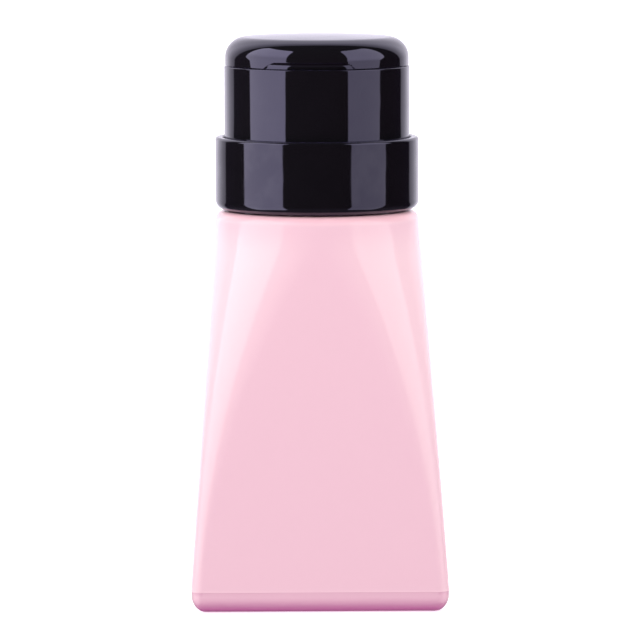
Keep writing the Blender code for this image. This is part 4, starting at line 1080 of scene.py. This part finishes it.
def notch_cutter(radius):
    """Makes the cutter of the thumb notch: a cove under the lid's edge with sloped ends."""
    outer = radius + CUT_OVERRUN
    below = LID_BOTTOM - CUT_OVERRUN
    block_bottom = below - CUT_OVERRUN / 2
    back = radius - NOTCH_DEPTH
    cove = [(back + NOTCH_DEPTH * (1 - across), NOTCH_TOP - NOTCH_COVE * (1 - up))
            for across, up in arc(0, 90, NOTCH_COVE_STEPS)]
    cutter = turned("notch_cutter", [(outer, NOTCH_TOP), (outer, below), (back, below), *cove])
    half = NOTCH_WIDTH / 2
    arch = []
    for step, (_, up) in enumerate(arc(0, 90, NOTCH_TAPER_STEPS)):
        arch.append((half - NOTCH_TAPER * step / NOTCH_TAPER_STEPS,
                     LID_BOTTOM + (NOTCH_TOP - LID_BOTTOM) * up))
    outline = [Vector((half, 0, block_bottom)), *[Vector((x, 0, z)) for x, z in arch],
               *[Vector((-x, 0, z)) for x, z in arch[::-1]], Vector((-half, 0, block_bottom))]
    block = plate("notch_block", outline, Vector((0, -NOTCH_REACH, 0)))
    return carve(cutter, block, "INTERSECT")


def soften_notch(lid, radius):
    """Rounds the edge where the notch meets the lid's wall."""
    def on_wall(point):
        """Tells whether a point lies on the lid's outer wall beside the notch."""
        place = point.co
        near_wall = abs(math.hypot(place.x, place.y) - radius) < WALL_SLACK
        in_reach = LID_BOTTOM + NOTCH_EDGE_START < place.z < NOTCH_TOP + HEIGHT_SLACK
        return near_wall and place.y < 0 and in_reach

    def on_edge(edge):
        """Tells whether an edge parts the lid's wall from the notch."""
        if not all(on_wall(point) for point in edge.verts):
            return False
        around = [point.co for face in edge.link_faces for point in face.verts]
        inside = radius - 2 * WALL_SLACK
        return any(math.hypot(place.x, place.y) < inside or place.z < LID_BOTTOM for place in around)

    open_edit(lid)
    pick("edges", on_edge)
    bpy.ops.mesh.bevel(offset=NOTCH_EDGE, segments=EDGE_SEGMENTS, affect="EDGES")
    close_edit()


class PUMP_OT_fittings(bpy.types.Operator):
    """Makes the lid's plug, the hinge pin and the return spring, and finishes the inner parts."""
    bl_idname = "pump.fittings"
    bl_label = "Plug, pin, spring and inner parts"

    def execute(self, context):
        """Builds the small pieces and dresses the kept ones."""
        plug = turned("plug_pad", [
            (0, LID_CEILING - SEAT_GAP),
            (LID_BOSS_BORE - SEAT_GAP, LID_CEILING - SEAT_GAP),
            (LID_BOSS_BORE - SEAT_GAP, NOZZLE_TOP + SEAT_GAP, PLUG_ROUND),
            (0, NOZZLE_TOP + SEAT_GAP),
        ], SMALL_TURN_STEPS, closed=False)
        turn_with_head(finish_mesh(plug))
        place_piece(plug, "flip_lid", "lid_plug", "Seal rubber")

        end = EAR_OUTER - PIN_SETBACK
        pin = cylinder(PIN_RADIUS, 2 * end, HINGE_PLACE, ALONG_HINGE, PIN_STEPS)
        pin.name = "hinge_rod"
        bpy.ops.object.transform_apply(location=True, rotation=True, scale=True)
        open_edit(pin)
        pick("edges", lambda edge: all(abs(abs(point.co.x) - end) < NEAR for point in edge.verts))
        bpy.ops.mesh.bevel(offset=PIN_CHAMFER, segments=EDGE_SEGMENTS, affect="EDGES")
        close_edit()
        turn_with_head(finish_mesh(pin))
        place_piece(pin, "pump_head", "hinge_pin", "Drawn steel")

        coil = wind_spring("return_coil")
        place_piece(coil, "pump_unit", "return_spring", "Drawn steel")
        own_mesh(coil)

        kept = {
            "Milky plastic": ("pump_housing", "housing_cap", "ball_cage", "dip_tube", "piston_core",
                             "piston", "stem"),
            "Seal rubber": ("neck_gasket", "stem_seal"),
            "Drawn steel": ("inlet_ball", "outlet_ball"),
        }
        for title, names in kept.items():
            for name in names:
                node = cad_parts[name]
                node.material_slots[0].link = "OBJECT"
                node.material_slots[0].material = finish(title)
        return {"FINISHED"}


def softbox_mask(tree, azimuth, elevation, middle, half_width):
    """Returns where a direction meets a tall softbox that widens outward as it rises, in degrees."""
    side = 1 if middle > 0 else -1
    spread = maths(tree, "MAXIMUM", maths(tree, "SUBTRACT", elevation, BOX_SPREAD_FROM), 0.0)
    spread = maths(tree, "MULTIPLY", maths(tree, "MINIMUM", spread, BOX_SPREAD_RISE), BOX_SPREAD)
    shifted = maths(tree, "MULTIPLY_ADD", spread, -side, azimuth)
    across = maths(tree, "ABSOLUTE", maths(tree, "SUBTRACT", shifted, middle))
    across = maths(tree, "SUBTRACT", across, spread)
    upright = maths(tree, "ABSOLUTE", maths(tree, "SUBTRACT", elevation, (BOX_TOP + BOX_BOTTOM) / 2))
    across = maths(tree, "MAXIMUM", maths(tree, "SUBTRACT", across, half_width - BOX_CORNER), 0.0)
    upright = maths(tree, "SUBTRACT", upright, (BOX_TOP - BOX_BOTTOM) / 2 - BOX_CORNER)
    upright = maths(tree, "MAXIMUM", upright, 0.0)
    squares = maths(tree, "MULTIPLY_ADD", across, across, maths(tree, "MULTIPLY", upright, upright))
    return ramp_between(tree, maths(tree, "SQRT", squares), BOX_CORNER + BOX_SOFTNESS,
                        BOX_CORNER - BOX_SOFTNESS)


def curve(tree, value, low, span, points):
    """Adds a curve through (value, level) points and returns its result."""
    share = maths(tree, "DIVIDE", maths(tree, "SUBTRACT", value, low), span, clamp=True)
    ramp = add_node(tree, "ValToRGB", {"Fac": share})
    stops = ramp.color_ramp.elements
    while len(stops) < len(points):
        stops.new(0.5)
    for stop, (place, level) in zip(stops, points):
        stop.position = (place - low) / span
        stop.color = (level, level, level, 1)
    return ramp.outputs["Color"]


def backdrop_level(tree, y, z):
    """Returns the backdrop's brightness by direction, from its edge to straight behind."""
    depth = maths(tree, "MULTIPLY_ADD", z, BACKDROP_RISE, y)
    return curve(tree, depth, 0.0, BACKDROP_SPAN, BACKDROP_STOPS)


def build_world(settings):
    """Makes the room by direction: two softboxes, a white backdrop, a table and a little fill."""
    world = bpy.data.worlds.new("Studio room")
    bpy.context.scene.world = world
    world.use_nodes = True
    world.cycles.sampling_method = "MANUAL"
    world.cycles.sample_map_resolution = ROOM_MAP_SIZE
    tree = world.node_tree
    tree.nodes.clear()
    direction = add_node(tree, "TexCoord").outputs["Generated"]
    x, y, z = add_node(tree, "SeparateXYZ", {"Vector": direction}).outputs
    to_degrees = 180 / math.pi
    sideways = maths(tree, "ARCTAN2", x, maths(tree, "MULTIPLY", y, -1.0))
    azimuth = maths(tree, "MULTIPLY", sideways, to_degrees)
    elevation = maths(tree, "MULTIPLY", maths(tree, "ARCSINE", z), to_degrees)
    left = softbox_mask(tree, azimuth, elevation, *LEFT_BOX)
    right = softbox_mask(tree, azimuth, elevation, *RIGHT_BOX)
    behind = backdrop_level(tree, y, z)
    under = ramp_between(tree, z, *UNDER_SPAN)
    path = add_node(tree, "LightPath")
    soft_ray = path.outputs["Is Diffuse Ray"]
    shade = maths(tree, "MULTIPLY", under, soft_ray)
    total = maths(tree, "MULTIPLY", soft_ray, settings.fill)
    left_gain = curve(tree, elevation, GAIN_LOW, GAIN_SPAN, LEFT_GAIN)
    right_gain = curve(tree, elevation, GAIN_LOW, GAIN_SPAN, RIGHT_GAIN)
    left_seen = maths(tree, "MULTIPLY", left_gain, settings.left_box)
    right_seen = maths(tree, "MULTIPLY", right_gain, settings.right_box)
    for mask, seen, cast in ((left, left_seen, LEFT_CAST), (right, right_seen, RIGHT_CAST),
                             (behind, settings.backdrop, BACK_CAST)):
        level = maths(tree, "MULTIPLY_ADD", soft_ray, maths(tree, "SUBTRACT", cast, seen), seen)
        total = maths(tree, "MULTIPLY_ADD", mask, level, total)
    table = maths(tree, "MULTIPLY", ramp_between(tree, z, *TABLE_SPAN), TABLE_LEVEL)
    total = maths(tree, "MULTIPLY_ADD", table, maths(tree, "SUBTRACT", 1.0, soft_ray), total)
    channels = []
    for dark, light in zip(UNDER_LEVEL, MIRROR_TINT):
        below = maths(tree, "MULTIPLY", shade, dark)
        rest = maths(tree, "MULTIPLY", total, maths(tree, "SUBTRACT", 1.0, shade))
        tint = maths(tree, "MULTIPLY_ADD", soft_ray, 1 - light, light)
        channels.append(maths(tree, "ADD", maths(tree, "MULTIPLY", rest, tint), below))
    room = add_node(tree, "CombineXYZ", dict(enumerate(channels)))
    seen = mix_colours(tree, path.outputs["Is Camera Ray"], room.outputs["Vector"],
                       [BACKGROUND_LEVEL] * 3)
    background = add_node(tree, "Background", {"Color": seen})
    add_node(tree, "OutputWorld", {"Surface": background.outputs["Background"]})


def add_key_light(settings):
    """Adds a soft light above the camera's side, unseen by the camera and in reflections."""
    bpy.ops.object.select_all(action="DESELECT")
    place = Vector(KEY_PLACE)
    bpy.ops.object.light_add(type="AREA", location=place)
    light = bpy.context.object
    light.name = "key_light"
    light.data.shape = "RECTANGLE"
    light.data.size, light.data.size_y = KEY_SIZE
    light.data.energy = settings.key
    light.rotation_euler = (Vector(KEY_TARGET) - place).to_track_quat("-Z", "Y").to_euler()
    light.visible_camera = False
    light.visible_glossy = False


def floor_finish():
    """Returns the floor's matt white paper, a little brighter for the camera."""
    material = bpy.data.materials.new("White paper")
    material.use_nodes = True
    tree = material.node_tree
    place = add_node(tree, "TexCoord").outputs["Object"]
    camera_ray = add_node(tree, "LightPath").outputs["Is Camera Ray"]
    light, dark = FLOOR_SHADES
    feed(tree, tree.nodes["Principled BSDF"], {
        "Base Color": mix_colours(tree, noise(tree, place, FLOOR_GRAIN, 4.0), [light] * 3, [dark] * 3),
        "Roughness": FLOOR_ROUGHNESS,
        "Specular IOR Level": 0.0,
        "Emission Color": (1, 1, 1, 1),
        "Emission Strength": maths(tree, "MULTIPLY", camera_ray, FLOOR_GLOW),
    })
    return material


class PUMP_OT_stage(bpy.types.Operator):
    """Adds the floor, the room, the lights and the camera."""
    bl_idname = "pump.stage"
    bl_label = "Studio"

    def execute(self, context):
        """Builds the stage."""
        settings = context.scene.pump_studio
        bpy.ops.object.select_all(action="DESELECT")
        bpy.ops.mesh.primitive_circle_add(vertices=FLOOR_STEPS, radius=FLOOR_RADIUS, fill_type="NGON",
                                          location=(0, 0, 0))
        floor = context.object
        floor.name = "studio_floor"
        floor.visible_glossy = False
        floor.visible_diffuse = False
        floor.visible_shadow = False
        floor.data.materials.append(floor_finish())
        build_world(settings)
        add_key_light(settings)

        angle = settings.side
        place = Vector((math.sin(angle) * settings.distance, -math.cos(angle) * settings.distance,
                        settings.height))
        bpy.ops.object.camera_add(location=place)
        camera = context.object
        camera.name = "studio_camera"
        camera.data.lens = settings.lens
        camera.data.sensor_width = SENSOR_WIDTH
        camera.data.clip_start, camera.data.clip_end = CLIP_SPAN
        look = (Vector((0, 0, settings.aim)) - place).to_track_quat("-Z", "Y")
        camera.location += look @ Vector((settings.shift, 0, 0))
        camera.rotation_euler = (look @ Quaternion((0, 0, 1), settings.roll)).to_euler()
        context.scene.camera = camera
        context.scene.view_settings.view_transform = "Standard"
        return {"FINISHED"}


class PUMP_PT_panel(bpy.types.Panel):
    """Lists the sizes, the colours and the steps."""
    bl_idname = "PUMP_PT_panel"
    bl_label = "Pump bottle"
    bl_space_type = "VIEW_3D"
    bl_region_type = "UI"
    bl_category = "Pump bottle"

    def draw(self, context):
        """Draws the panel."""
        layout = self.layout
        for group, kind in SETTINGS:
            layout.label(text=kind.__doc__)
            settings = getattr(context.scene, group)
            for name in settings.__annotations__:
                layout.prop(settings, name)
        for step in STEPS:
            layout.operator(step.bl_idname)


SETTINGS = (("pump_sizes", BottleSizes), ("pump_colours", FinishColours),
            ("pump_studio", StudioSettings))
STEPS = (PUMP_OT_bottle, PUMP_OT_collar, PUMP_OT_head, PUMP_OT_dish, PUMP_OT_nozzle, PUMP_OT_lid,
         PUMP_OT_fittings, PUMP_OT_stage)


def register():
    """Registers the settings, the steps and the panel."""
    for name, group in SETTINGS:
        bpy.utils.register_class(group)
        setattr(bpy.types.Scene, name, PointerProperty(type=group))
    for step in STEPS:
        bpy.utils.register_class(step)
    bpy.utils.register_class(PUMP_PT_panel)


def unregister():
    """Removes the panel, the steps and the settings."""
    bpy.utils.unregister_class(PUMP_PT_panel)
    for step in reversed(STEPS):
        bpy.utils.unregister_class(step)
    for name, group in reversed(SETTINGS):
        delattr(bpy.types.Scene, name)
        bpy.utils.unregister_class(group)


def main():
    """Registers the add-on and runs its steps in order."""
    register()
    make_wave_group()
    make_wear_group()
    bpy.ops.pump.bottle()
    bpy.ops.pump.collar()
    bpy.ops.pump.head()
    bpy.ops.pump.dish()
    bpy.ops.pump.nozzle()
    bpy.ops.pump.lid()
    bpy.ops.pump.fittings()
    bpy.ops.pump.stage()


if __name__ == "__main__":
    main()
